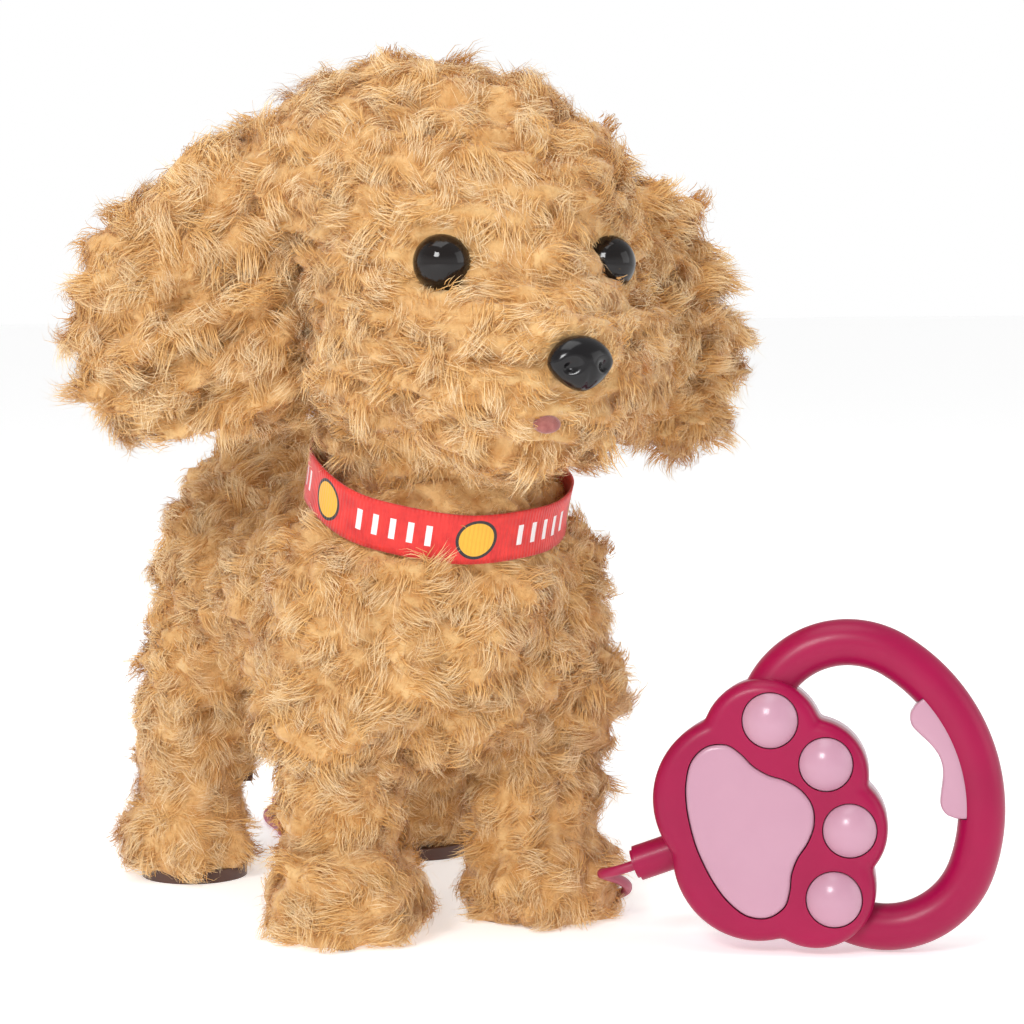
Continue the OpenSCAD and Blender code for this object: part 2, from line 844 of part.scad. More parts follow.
module remote_board() {
    color("darkgreen") in_remote() difference() {
        translate([0, 0, remote_board_w[0]])
            linear_extrude(remote_board_w[1] - remote_board_w[0]) difference() {
            paw_outline(-3.5);
            for (s = remote_screw_spots) translate(s) circle(r = 3.2);
        }
        ring_arcs(180) circle(r = ring_r + 0.6);
        rotate([0, -90, 0]) cylinder(r = gland_r + 0.6, h = 40);
    }
}

// Rubber mat with a dome under every button
module switch_mat() {
    color("lightgray") in_remote() difference() {
        union() {
            translate([0, 0, remote_board_w[1]])
                linear_extrude(mat_top - remote_board_w[1]) paw_outline(-4);
            for (t = toes)
                translate([t[0], t[1], mat_top]) cylinder(r1 = 4, r2 = 2.5, h = dome_h);
            for (v = [-12, 0, 12])
                translate([-3, v, mat_top]) cylinder(r1 = 4, r2 = 2.5, h = dome_h);
        }
        for (s = remote_screw_spots) translate([s[0], s[1], 0]) cylinder(r = 3.4, h = 10);
        ring_arcs(180) circle(r = ring_r + 0.6);
        rotate([0, -90, 0]) cylinder(r = gland_r + 0.6, h = 40);
    }
}

module remote_gland() {
    color("mediumvioletred") in_remote() rotate([0, -90, 0]) difference() {
        union() {
            translate([0, 0, 19]) cylinder(r = gland_r, h = -gland_end - 19 - 1);
            translate([0, 0, 19]) cylinder(r = gland_r - 1, h = -gland_end - 19);
        }
        cylinder(r = cord_r + fit, h = 60);
    }
}

module remote_screws() {
    color("silver") in_remote() for (s = remote_screw_spots) {
        translate([s[0], s[1], -9]) cylinder(r = remote_screw_r, h = 15);
        translate([s[0], s[1], -10.4]) cylinder(r = 2, h = 1.4);
    }
}

// Flanged button with a slightly domed top
module pad_button() {
    color("thistle") in_remote() {
        translate([0, 0, flange_w[0]]) linear_extrude(flange_w[1] - flange_w[0])
            pad_outline(button_flange);
        translate([0, 0, flange_w[1]]) linear_extrude(front_depth + 1 - flange_w[1])
            pad_outline(0);
        translate([0, 0, front_depth + 1]) linear_extrude(0.8) pad_outline(-1);
    }
}

module toe_button(t) {
    rise = toe_rise;
    dome_r = (t[2] * t[2] + rise * rise) / (2 * rise);
    color("thistle") in_remote() translate([t[0], t[1], 0]) {
        translate([0, 0, flange_w[0]]) cylinder(r = t[2] + button_flange, h = flange_w[1] - flange_w[0]);
        translate([0, 0, flange_w[1]]) cylinder(r = t[2], h = front_depth - flange_w[1]);
        intersection() {
            translate([0, 0, front_depth + rise - dome_r]) sphere(r = dome_r);
            translate([0, 0, front_depth]) cylinder(r = t[2] + 1, h = 10);
        }
    }
}

module toe_button_1() {
    toe_button(toes[0]);
}

module toe_button_2() {
    toe_button(toes[1]);
}

module toe_button_3() {
    toe_button(toes[2]);
}

module toe_button_4() {
    toe_button(toes[3]);
}

// Finger trigger with a shallow groove, sliding into the handle
module trigger() {
    color("thistle") in_remote() translate([ring_u + ring_side_c, 0, -trigger_half_w])
        linear_extrude(2 * trigger_half_w) difference() {
            ring_sector(trigger_r[0] - 1.6, trigger_r[1], trigger_span);
            translate([-8, 0]) circle(r = trigger_r[0] + 10);
        }
}

// ---------- cord ----------

// Unit direction of the route at point i
function heading(path, i) =
    let (a = path[max(i - 1, 0)], b = path[min(i + 1, len(path) - 1)]) (b - a) / norm(b - a);

// Ring of points round point i of the route
function cord_ring(path, i, across) =
    let (
        d = heading(path, i),
        side = cross(d, across),
        s = side / norm(side),
        t = cross(s, d)
    )
    [for (k = [0 : cord_sides - 1])
        path[i] + cord_r * (cos(k * 360 / cord_sides) * s + sin(k * 360 / cord_sides) * t)];

module cord_tube(path, across) {
    n = len(path);
    m = cord_sides;
    rings = [for (i = [0 : n - 1]) each cord_ring(path, i, across)];
    walls = [for (i = [0 : n - 2]) for (k = [0 : m - 1])
        [i * m + k, i * m + (k + 1) % m, (i + 1) * m + (k + 1) % m, (i + 1) * m + k]];
    start_cap = [[for (k = [0 : m - 1]) m - 1 - k]];
    end_cap = [[for (k = [0 : m - 1]) (n - 1) * m + k]];
    polyhedron(points = rings, faces = concat(walls, start_cap, end_cap));
}

module cord_remote_run() {
    color("mediumvioletred") in_frame() cord_tube(remote_run, [0, 0, 1]);
}

module cord_body_run() {
    color("mediumvioletred") in_frame() cord_tube(body_run, [1, 0, 0]);
}

// Outer shape of the neat coil: its rows and columns of turns
module cord_coil() {
    wide = coil_cols * cord_d;
    tall = coil_rows * cord_d;
    color("mediumvioletred") in_frame() translate(coil_c) rotate_extrude()
        translate([coil_d / 2 - wide / 2, 0]) square([wide, tall]);
}

// Twist tie round the bundle
module cord_tie() {
    wide = coil_cols * cord_d + 0.4;
    tall = coil_rows * cord_d + 0.4;
    color("white") in_frame() translate([coil_c[0], coil_c[1] + coil_d / 2, 0])
        rotate([0, 90, 0]) translate([0, 0, -1.5]) linear_extrude(3) difference() {
            translate([-tall - 0.8, -wide / 2 - 0.8]) square([tall + 0.8, wide + 1.6]);
            translate([-tall, -wide / 2]) square([tall + 1, wide]);
        }
}

// ---------- sub-parts by side ----------

module leg_frame_front_left() {
    leg_frame(1, front_hip_y, front_foot_x);
}

module leg_frame_front_right() {
    leg_frame(-1, front_hip_y, front_foot_x);
}

module leg_frame_rear_left() {
    leg_frame(1, rear_hip_y, rear_foot_x);
}

module leg_frame_rear_right() {
    leg_frame(-1, rear_hip_y, rear_foot_x);
}

module leg_fur_front_left() {
    leg_fur(1, front_hip_y, front_foot_x);
}

module leg_fur_front_right() {
    leg_fur(-1, front_hip_y, front_foot_x);
}

module leg_fur_rear_left() {
    leg_fur(1, rear_hip_y, rear_foot_x);
}

module leg_fur_rear_right() {
    leg_fur(-1, rear_hip_y, rear_foot_x);
}

module link_rod_left() {
    link_rod(1);
}

module link_rod_right() {
    link_rod(-1);
}

module ear_left() {
    ear(1);
}

module ear_right() {
    ear(-1);
}

module eye_left() {
    eye(1);
}

module eye_right() {
    eye(-1);
}

case_left();
case_right();
case_screws();
motor();
speaker();
main_board();
front_hip_axle();
rear_hip_axle();
idler_axle();
neck_post();
neck_axle();
torso_fur();
collar();
body_gland();
motor_pinion();
idler_gear();
crank_gear();
leg_frame_front_left();
leg_frame_front_right();
leg_frame_rear_left();
leg_frame_rear_right();
leg_fur_front_left();
leg_fur_front_right();
leg_fur_rear_left();
leg_fur_rear_right();
link_rod_left();
link_rod_right();
tail_lever();
tail_fur();
skull_front();
skull_back();
head_fur();
ear_left();
ear_right();
eye_left();
eye_right();
eye_washers();
nose();
tongue();
paw_front_cover();
paw_back_cover();
ring_front_half();
ring_back_half();
remote_board();
switch_mat();
battery_cells();
battery_contacts();
remote_gland();
remote_screws();
battery_door();
pad_button();
toe_button_1();
toe_button_2();
toe_button_3();
toe_button_4();
trigger();
cord_remote_run();
cord_coil();
cord_body_run();
cord_tie();
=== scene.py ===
"""Curly walking plush dog with a wired paw-shaped remote, drawn around its CAD frame."""

import math

import bmesh
import bpy
import numpy as np
from mathutils import Matrix, Vector, kdtree


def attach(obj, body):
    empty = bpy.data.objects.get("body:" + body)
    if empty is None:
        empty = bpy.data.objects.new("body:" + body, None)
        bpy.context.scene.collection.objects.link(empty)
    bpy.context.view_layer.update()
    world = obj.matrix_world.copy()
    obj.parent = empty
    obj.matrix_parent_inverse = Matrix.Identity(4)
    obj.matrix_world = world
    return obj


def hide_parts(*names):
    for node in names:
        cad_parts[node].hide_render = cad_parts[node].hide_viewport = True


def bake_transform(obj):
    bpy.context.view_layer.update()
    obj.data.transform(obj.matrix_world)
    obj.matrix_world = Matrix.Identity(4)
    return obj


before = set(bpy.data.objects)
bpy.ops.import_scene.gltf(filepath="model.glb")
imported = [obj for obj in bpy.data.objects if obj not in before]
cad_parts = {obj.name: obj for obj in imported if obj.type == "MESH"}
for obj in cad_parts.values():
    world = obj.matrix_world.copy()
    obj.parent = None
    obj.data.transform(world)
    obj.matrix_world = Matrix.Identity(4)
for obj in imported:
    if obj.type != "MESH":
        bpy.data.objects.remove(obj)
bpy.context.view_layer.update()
rng = np.random.default_rng(20260)

MM = 0.001
# The dog's own origin, between its feet, in the row frame
DOG = np.array([-6.0, 24.0, 0.0])
LEFT, RIGHT = 1, -1


# ---------------------------------------------------------------- helpers

def to_frame(points):
    """Points in the dog's millimetres as metres in the row frame."""
    return (np.asarray(points, float) + DOG) * MM


def new_object(name, verts, faces, material=None):
    """A smooth-shaded mesh object from metres, with one material."""
    mesh = bpy.data.meshes.new(name)
    mesh.from_pydata([tuple(v) for v in verts], [], [tuple(f) for f in faces])
    mesh.validate()
    return shown(mesh, material)


def shown(mesh, material):
    """A smooth-shaded object in the scene, named after its mesh."""
    mesh.polygons.foreach_set("use_smooth", [True] * len(mesh.polygons))
    obj = bpy.data.objects.new(mesh.name, mesh)
    bpy.context.scene.collection.objects.link(obj)
    if material:
        mesh.materials.append(material)
    return obj


def from_bmesh(name, bm, material=None):
    """An object made of a bmesh, which is freed."""
    mesh = bpy.data.meshes.new(name)
    bm.to_mesh(mesh)
    bm.free()
    return shown(mesh, material)


def apply_modifiers(obj):
    """Bake the object's modifiers into its mesh."""
    depsgraph = bpy.context.evaluated_depsgraph_get()
    mesh = bpy.data.meshes.new_from_object(obj.evaluated_get(depsgraph))
    old = obj.data
    obj.modifiers.clear()
    obj.data = mesh
    mesh.name = obj.name
    bpy.data.meshes.remove(old)


def paint(node, material):
    """Give a CAD node's own object a material."""
    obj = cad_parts[node]
    obj = bpy.data.objects[obj] if isinstance(obj, str) else obj
    obj.data.materials.clear()
    obj.data.materials.append(material)


def unit(v):
    return v / np.maximum(np.linalg.norm(v, axis=-1, keepdims=True), 1e-9)


# ---------------------------------------------------------------- camera and light

CAMERA_AZIMUTH = math.radians(-27.2)
CAMERA_HEIGHT = math.radians(4.8)
CAMERA_DISTANCE = 902.7
CAMERA_LENS = 102.0
CAMERA_TARGET = (37.7, -19.4, 120.5)


def make_camera():
    data = bpy.data.cameras.new("camera")
    data.lens = CAMERA_LENS
    data.sensor_width = 36.0
    data.clip_end = 50.0
    camera = bpy.data.objects.new("camera", data)
    bpy.context.scene.collection.objects.link(camera)
    back = Vector((math.sin(CAMERA_AZIMUTH) * math.cos(CAMERA_HEIGHT),
                   -math.cos(CAMERA_AZIMUTH) * math.cos(CAMERA_HEIGHT),
                   math.sin(CAMERA_HEIGHT)))
    camera.location = Vector(to_frame(CAMERA_TARGET)) + back * CAMERA_DISTANCE * MM
    camera.rotation_euler = back.to_track_quat("Z", "Y").to_euler()
    bpy.context.scene.camera = camera


def area_light(name, place, size, power):
    """Square lamp aimed at the middle of the toy."""
    data = bpy.data.lights.new(name, "AREA")
    data.size = size
    data.energy = power
    light = bpy.data.objects.new(name, data)
    light.location = place
    aim = Vector((0, 0, 0.11)) - Vector(place)
    light.rotation_euler = aim.to_track_quat("-Z", "Y").to_euler()
    bpy.context.scene.collection.objects.link(light)


def make_studio():
    """Pale floor under an even backdrop, with soft lights round it."""
    world = bpy.data.worlds.new("studio")
    world.use_nodes = True
    tree = world.node_tree
    # Bright towards the horizon and softer overhead
    place = tree.nodes.new("ShaderNodeTexCoord")
    split = tree.nodes.new("ShaderNodeSeparateXYZ")
    ramp = tree.nodes.new("ShaderNodeValToRGB")
    tree.links.new(place.outputs["Generated"], split.inputs["Vector"])
    tree.links.new(split.outputs["Z"], ramp.inputs["Fac"])
    ramp.color_ramp.elements[0].position = 0.13
    ramp.color_ramp.elements[0].color = (1, 1, 1, 1)
    ramp.color_ramp.elements[1].position = 0.45
    ramp.color_ramp.elements[1].color = (0.5, 0.5, 0.5, 1)
    tree.links.new(ramp.outputs["Color"], tree.nodes["Background"].inputs["Color"])
    tree.nodes["Background"].inputs["Strength"].default_value = 1.0
    bpy.context.scene.world = world
    white = simple_material("floor", (0.9, 0.9, 0.9), 0.75)
    shader = white.node_tree.nodes["Principled BSDF"]
    shader.inputs["Emission Color"].default_value = (1, 1, 1, 1)
    shader.inputs["Emission Strength"].default_value = 0.46
    floor = new_object("floor", [(-9, -9, 0), (9, -9, 0), (9, 9, 0), (-9, 9, 0)], [(0, 1, 2, 3)],
                       white)
    area_light("key", (-1.1, -1.0, 1.1), 0.5, 15)
    area_light("fill", (1.3, -1.0, 0.7), 1.0, 3)
    area_light("top", (-0.2, -0.1, 1.7), 1.0, 6)
    view = bpy.context.scene.view_settings
    view.view_transform = "Standard"


# ---------------------------------------------------------------- materials

def simple_material(name, colour, roughness):
    mat = bpy.data.materials.new(name)
    mat.use_nodes = True
    shader = mat.node_tree.nodes["Principled BSDF"]
    shader.inputs["Base Color"].default_value = (*colour, 1)
    shader.inputs["Roughness"].default_value = roughness
    return mat


class Graph:
    """Small helper that adds and joins shader nodes."""

    def __init__(self, mat):
        self.tree = mat.node_tree
        self.shader = self.tree.nodes["Principled BSDF"]

    def set(self, socket, value):
        self.shader.inputs[socket].default_value = value

    def add(self, kind, **values):
        node = self.tree.nodes.new(kind)
        for key, value in values.items():
            if key in node.inputs:
                node.inputs[key].default_value = value
            else:
                setattr(node, key, value)
        return node

    def link(self, out, into):
        self.tree.links.new(out, into)

    def coords(self):
        return self.add("ShaderNodeTexCoord").outputs["Object"]

    def noise(self, scale, detail=4.0, source=None, distortion=0.0):
        node = self.add("ShaderNodeTexNoise", Scale=scale, Detail=detail, Distortion=distortion)
        self.link(source or self.coords(), node.inputs["Vector"])
        return node.outputs["Fac"]

    def ramp(self, fac, stops):
        node = self.add("ShaderNodeValToRGB")
        elements = node.color_ramp.elements
        while len(elements) < len(stops):
            elements.new(0.5)
        for element, (place, colour) in zip(elements, stops):
            element.position = place
            element.color = (*colour, 1)
        self.link(fac, node.inputs["Fac"])
        return node.outputs["Color"]

    def bump(self, height, distance, strength=1.0):
        node = self.add("ShaderNodeBump", Strength=strength, Distance=distance)
        self.link(height, node.inputs["Height"])
        self.link(node.outputs["Normal"], self.shader.inputs["Normal"])


def moulded_material(name, colour, dark, roughness, coat=0.3, grain=1500.0):
    """Moulded plastic: faint colour drift, uneven gloss and a fine skin texture."""
    mat = simple_material(name, colour, roughness)
    g = Graph(mat)
    g.set("Coat Weight", coat)
    g.set("Coat Roughness", 0.12)
    drift = g.noise(35.0, 3.0)
    g.link(g.ramp(drift, [(0.3, dark), (0.7, colour)]), g.shader.inputs["Base Color"])
    gloss = g.add("ShaderNodeMapRange")
    gloss.inputs["To Min"].default_value = roughness - 0.05
    gloss.inputs["To Max"].default_value = roughness + 0.07
    g.link(g.noise(120.0, 5.0), gloss.inputs["Value"])
    g.link(gloss.outputs["Result"], g.shader.inputs["Roughness"])
    g.bump(g.noise(grain, 2.0), 0.00004, 0.35)
    return mat


def metal_material(name, colour, roughness):
    mat = moulded_material(name, colour, tuple(c * 0.8 for c in colour), roughness, 0.0)
    Graph(mat).set("Metallic", 1.0)
    return mat


def strand_material():
    """Pile: dark orange at the root and pale cream at the tip, with a hue of its own per lock. The dark
    roots are partly the fibre's own colour and partly painted shade deep in the pile; the pale tips are
    partly their own colour and partly painted highlight.
    """
    mat = simple_material("pile", (0.8, 0.5, 0.2), 0.62)
    g = Graph(mat)
    split = g.add("ShaderNodeSeparateXYZ")
    g.link(g.add("ShaderNodeUVMap", uv_map="OFBake").outputs["UV"], split.inputs["Vector"])
    # Root to tip: dark orange roots, partly painted shade in the gaps between locks, up to pale cream
    # tips, partly painted highlight
    along = g.ramp(split.outputs["Y"], [(0.0, (0.60, 0.28, 0.07)), (0.3, (0.75, 0.44, 0.16)),
                                       (0.65, (0.86, 0.65, 0.38)), (1.0, (0.93, 0.80, 0.59))])
    lock = g.ramp(split.outputs["X"], [(0.0, (0.85, 0.76, 0.63)), (0.35, (0.95, 0.91, 0.85)),
                                      (0.7, (1.0, 1.0, 1.0)), (1.0, (1.0, 1.0, 1.0))])
    mix = g.add("ShaderNodeMix", data_type="RGBA", blend_type="MULTIPLY")
    mix.inputs[0].default_value = 1.0
    g.link(along, mix.inputs[6])
    g.link(lock, mix.inputs[7])
    g.link(mix.outputs[2], g.shader.inputs["Base Color"])
    g.set("Sheen Weight", 0.25)
    g.set("Sheen Roughness", 0.4)
    g.set("Specular IOR Level", 0.25)
    return mat


def backing_material():
    """The pile's dense base, seen only in the partings between locks. Its dark orange is partly the
    base's own colour and partly painted shade in the partings.
    """
    mat = simple_material("backing", (0.6, 0.3, 0.08), 0.85)
    g = Graph(mat)
    # Random darker and lighter patches; the dark orange overall is partly painted shade in the partings
    patches = g.noise(190.0, 5.0, distortion=0.6)
    g.link(g.ramp(patches, [(0.32, (0.56, 0.27, 0.075)), (0.68, (0.80, 0.51, 0.22))]),
           g.shader.inputs["Base Color"])
    g.set("Sheen Weight", 0.3)
    g.bump(g.noise(900.0, 6.0), 0.0008, 0.8)
    return mat


# ---------------------------------------------------------------- cord

CORD_D = 3.0
REMOTE_RUN = [
    (39.8, -93.4, 22.6), (36.7, -91.3, 21.2), (34.7, -89.1, 20.2), (33.8, -86, 19.4),
    (34.6, -82.9, 18.6), (37, -80.4, 17.6), (40.6, -78, 16.2), (45, -75, 14.4),
    (49.3, -71.4, 12.2), (52.8, -66.8, 9.8), (55, -61.4, 7.2), (56.2, -55, 5),
    (56.8, -48, 3.2), (57.2, -40, 2), (57.8, -32, 1.6), (59, -23, 1.6),
    (60.8, -14, 1.6), (63, -5, 1.6), (65.2, 4, 1.6), (67, 14, 1.6),
    (68, 24, 1.6), (68.3, 34, 1.6), (68.3, 44, 1.6), (68.1, 54, 1.6),
    (67.6, 64, 1.6), (66.6, 74, 1.6), (64.6, 83, 1.6), (61.6, 91, 1.6),
    (58, 98, 1.6), (54.8, 105, 1.6), (52.7, 112, 1.6),
]
BODY_RUN = [
    (12.2, 112, 1.6), (11, 105.5, 1.6), (9, 99, 1.8),
    (6.4, 93, 3), (4, 87.2, 6), (2, 82.4, 11), (0.8, 78.6, 18),
    (0.2, 76, 26), (0, 74.6, 34), (0, 74, 42), (0, 74, 50),
]
COIL_CENTRE = (34.0, 118.0)
COIL_INNER = 15.0
COIL_OUTER = 18.0
COIL_FLOOR = 1.6
COIL_LAYER = 3.05
COIL_STEPS = 24


def coil_points():
    """Five turns laid beside and on each other, and half a turn down to the floor again."""
    turns = [(COIL_OUTER, 0), (COIL_INNER, 0), (COIL_INNER, 1), (COIL_OUTER, 1), (COIL_OUTER, 2)]
    points = []
    for i, (radius, layer) in enumerate(turns):
        before = turns[max(i - 1, 0)]
        for k in range(COIL_STEPS):
            angle = 2 * math.pi * k / COIL_STEPS
            # Each turn takes over from the one before it in its first third
            share = min(1.0, (k + 0.5) / (COIL_STEPS / 3))
            share = share * share * (3 - 2 * share)
            r = before[0] + (radius - before[0]) * share
            z = COIL_FLOOR + COIL_LAYER * (before[1] + (layer - before[1]) * share)
            points.append((r, angle, z))
    for k in range(COIL_STEPS // 2 + 1):
        angle = 2 * math.pi * k / COIL_STEPS
        share = k / (COIL_STEPS / 2)
        swing = min(1.0, share * 2) * math.pi / 2
        drop = max(0.0, share * 2 - 1) * COIL_LAYER
        points.append((COIL_OUTER + 3.1 * math.sin(swing), angle,
                       COIL_FLOOR + COIL_LAYER * (1 + math.cos(swing)) - drop))
    return [(COIL_CENTRE[0] + r * math.cos(a), COIL_CENTRE[1] + r * math.sin(a), z)
            for r, a, z in points]


def make_cord(material):
    """One cord from the remote's gland, round the coil and up into the body's gland."""
    points = to_frame(REMOTE_RUN + coil_points() + BODY_RUN)
    curve = bpy.data.curves.new("cord", "CURVE")
    curve.dimensions = "3D"
    curve.bevel_depth = CORD_D / 2 * MM
    curve.bevel_resolution = 4
    curve.resolution_u = 3
    curve.use_fill_caps = True
    spline = curve.splines.new("NURBS")
    spline.points.add(len(points) - 1)
    for point, place in zip(spline.points, points):
        point.co = (*place, 1)
    spline.order_u = 3
    spline.use_endpoint_u = True
    cord = bpy.data.objects.new("cord", curve)
    bpy.context.scene.collection.objects.link(cord)
    curve.materials.append(material)
    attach(cord, "root")
    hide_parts("cord_remote_run", "cord_coil", "cord_body_run")


# ---------------------------------------------------------------- plush skins

LUMP_SPAN = 6.4
LUMP_HEIGHT = 3.1


class Skin:
    """Smooth closed surface blended from ellipsoids, in the dog's millimetres."""

    def __init__(self, name, lumps, voxel=3.0, rounds=10, relief=LUMP_HEIGHT, trim=None):
        mesh = bpy.data.meshes.new(name + "_lumps")
        bm = bmesh.new()
        for centre, radii, *turn in lumps:
            turn = turn[0] if turn else Matrix.Identity(3)
            matrix = (Matrix.Translation(centre) @ turn.to_4x4()
                      @ Matrix.Diagonal((*radii, 1)))
            bmesh.ops.create_icosphere(bm, subdivisions=4, radius=1, matrix=matrix)
        bm.to_mesh(mesh)
        bm.free()
        obj = bpy.data.objects.new(name + "_lumps", mesh)
        bpy.context.scene.collection.objects.link(obj)
        remesh = obj.modifiers.new("remesh", "REMESH")
        remesh.mode = "VOXEL"
        remesh.voxel_size = voxel
        apply_modifiers(obj)
        bm = bmesh.new()
        bm.from_mesh(obj.data)
        for _ in range(rounds):
            bmesh.ops.smooth_vert(bm, verts=bm.verts, factor=0.5, use_axis_x=True,
                                  use_axis_y=True, use_axis_z=True)
        bmesh.ops.triangulate(bm, faces=bm.faces)
        bm.verts.ensure_lookup_table()
        self.verts = np.array([v.co for v in bm.verts])
        self.faces = np.array([[v.index for v in f.verts] for f in bm.faces])
        bm.free()
        old = obj.data
        bpy.data.objects.remove(obj)
        bpy.data.meshes.remove(old)
        push = smooth_noise(self.verts, LUMP_SPAN, len(name) + len(self.verts))[:, :1]
        self.verts = self.verts + self.normals() * push * relief
        if trim is not None:
            self.verts = trim(self.verts)
        self.name = name

    def normals(self):
        a, b, c = (self.verts[self.faces[:, i]] for i in range(3))
        flat = np.cross(b - a, c - a)
        total = np.zeros_like(self.verts)
        for i in range(3):
            np.add.at(total, self.faces[:, i], flat)
        return unit(total)

    def scatter(self, spacing):
        """Points about spacing apart all over the surface, with their normals."""
        a, b, c = (self.verts[self.faces[:, i]] for i in range(3))
        area = np.linalg.norm(np.cross(b - a, c - a), axis=1) / 2
        count = int(area.sum() / (spacing * spacing) * 5)
        pick = rng.choice(len(area), count, p=area / area.sum())
        u, v = rng.random((2, count, 1))
        fold = (u + v) > 1
        u, v = np.where(fold, 1 - u, u), np.where(fold, 1 - v, v)
        points = a[pick] + u * (b - a)[pick] + v * (c - a)[pick]
        smooth = self.normals()
        na, nb, nc = (smooth[self.faces[pick, i]] for i in range(3))
        normals = unit(na * (1 - u - v) + nb * u + nc * v)
        keep = thin_out(points, spacing)
        return points[keep], normals[keep]


def thin_out(points, spacing):
    """Indices of points kept so that none are nearer than spacing."""
    grid = {}
    kept = []
    cells = np.floor(points / spacing).astype(int)
    limit = spacing * spacing
    around = [(i, j, k) for i in (-1, 0, 1) for j in (-1, 0, 1) for k in (-1, 0, 1)]
    for index in range(len(points)):
        x, y, z = cells[index]
        p = points[index]
        near = False
        for i, j, k in around:
            for other in grid.get((x + i, y + j, z + k), ()):
                d = p - points[other]
                if d[0] * d[0] + d[1] * d[1] + d[2] * d[2] < limit:
                    near = True
                    break
            if near:
                break
        if not near:
            grid.setdefault((x, y, z), []).append(index)
            kept.append(index)
    return np.array(kept)


def smooth_noise(points, scale, seed):
    """Smooth vector noise of about unit size, from a sum of seeded waves."""
    local = np.random.default_rng(seed)
    total = np.zeros((len(points), 3))
    for _ in range(9):
        wave = local.normal(size=3) / scale * 2.2
        phase = local.random() * 2 * math.pi
        way = local.normal(size=3)
        total += np.sin(points @ wave + phase)[:, None] * way
    return total / 3


STRAND_POINTS = 4
# Most strands in one piece
STRAND_LIMIT = 36000
# Sideways turn in radians: of a whole lock, of a strand in it, and of an under-pile strand
LOCK_CURL = 0.9
STRAND_CURL = 0.35
UNDER_CURL = 1.8
# An under-pile strand's length and spread, as shares of a lock's
UNDER_LENGTH = 0.6
UNDER_SPREAD = 1.45
# Width of a strand from root to tip, as a share of its own width
TAPER = (0.85, 1.0, 0.75, 0.0)


def grow_locks(points, normals, length, seed, strands=66, spread=3.4, comb=(0, 0, -0.35),
               swirl=6.5, lift=50.0, droop=-50.0, width=0.2, under=0.42):
    """Curly locks at the points: each one a bundle of fine strands that lies over as one.

    length is one length per lock, in millimetres, and a share of the strands are short under-pile.
    Returns strand centre lines, side vectors, widths and the colour place of each strand.
    """
    local = np.random.default_rng(seed)
    n = len(points)
    flow = smooth_noise(points, swirl, seed) * 1.2 + np.asarray(comb)
    flow += local.normal(size=(n, 3)) * 0.4
    flow -= normals * (flow * normals).sum(1, keepdims=True)
    ahead = unit(flow)
    across = np.cross(normals, ahead)
    curl = local.normal(size=n) * LOCK_CURL
    rise = np.radians(lift + local.normal(size=n) * 12)
    fall = np.radians(droop + local.normal(size=n) * 14)
    hue = np.clip(0.55 + 0.25 * smooth_noise(points, 30.0, seed + 7)[:, 0]
                  + local.normal(size=n) * 0.18, 0, 1)

    # One row per strand
    lock = np.repeat(np.arange(n), strands)
    m = len(lock)
    short = local.random(m) < under
    disc = np.sqrt(local.random(m)) * spread * np.where(short, UNDER_SPREAD, 1.0)
    angle = local.random(m) * 2 * math.pi
    root_a = (disc * np.cos(angle))[:, None]
    root_b = (disc * np.sin(angle))[:, None]
    own = length[lock] * (0.7 + 0.45 * local.random(m)) * np.where(short, UNDER_LENGTH, 1.0)
    gather = np.where(short, 0.0, 0.15 + 0.4 * local.random(m))
    splay = local.normal(size=(m, 2)) * 0.9
    bend = curl[lock] + local.normal(size=m) * np.where(short, UNDER_CURL, STRAND_CURL)
    line = np.zeros((m, STRAND_POINTS, 3))
    place = points[lock] + ahead[lock] * root_a + across[lock] * root_b - normals[lock] * 1.0
    line[:, 0] = place
    step = own / (STRAND_POINTS - 1)
    tilt = local.normal(size=m) * 0.18
    marks = np.linspace(0, 1, STRAND_POINTS)
    for i in range(1, STRAND_POINTS):
        s = (marks[i] + marks[i - 1]) / 2
        pitch = rise[lock] + (fall[lock] - rise[lock]) * s + tilt
        turn = bend * (s - 0.2)
        way = (ahead[lock] * (np.cos(pitch) * np.cos(turn))[:, None]
               + across[lock] * (np.cos(pitch) * np.sin(turn))[:, None]
               + normals[lock] * np.sin(pitch)[:, None])
        place = place + way * step[:, None]
        pull = (gather * (marks[i] ** 1.3 - marks[i - 1] ** 1.3))[:, None]
        place = place - (ahead[lock] * root_a + across[lock] * root_b) * pull
        share = marks[i] - marks[i - 1]
        place = place + (ahead[lock] * splay[:, :1] + across[lock] * splay[:, 1:]) * share
        line[:, i] = place
    along = unit(np.gradient(line, axis=1))
    facing = normals[lock][:, None, :] + local.normal(size=(m, 1, 3)) * 0.25
    side = unit(np.cross(along, facing))
    widths = width * (0.7 + 0.6 * local.random(m))[:, None] * np.array(TAPER)
    tint = np.clip(hue[lock] + local.normal(size=m) * 0.13, 0.01, 0.99)
    # Under-pile strands stop in the darker middle of the colour ramp: partly painted shade deep in the
    # pile
    reach = np.where(short, 0.6, 0.82 + 0.17 * local.random(m))
    return line, side, widths, tint, reach


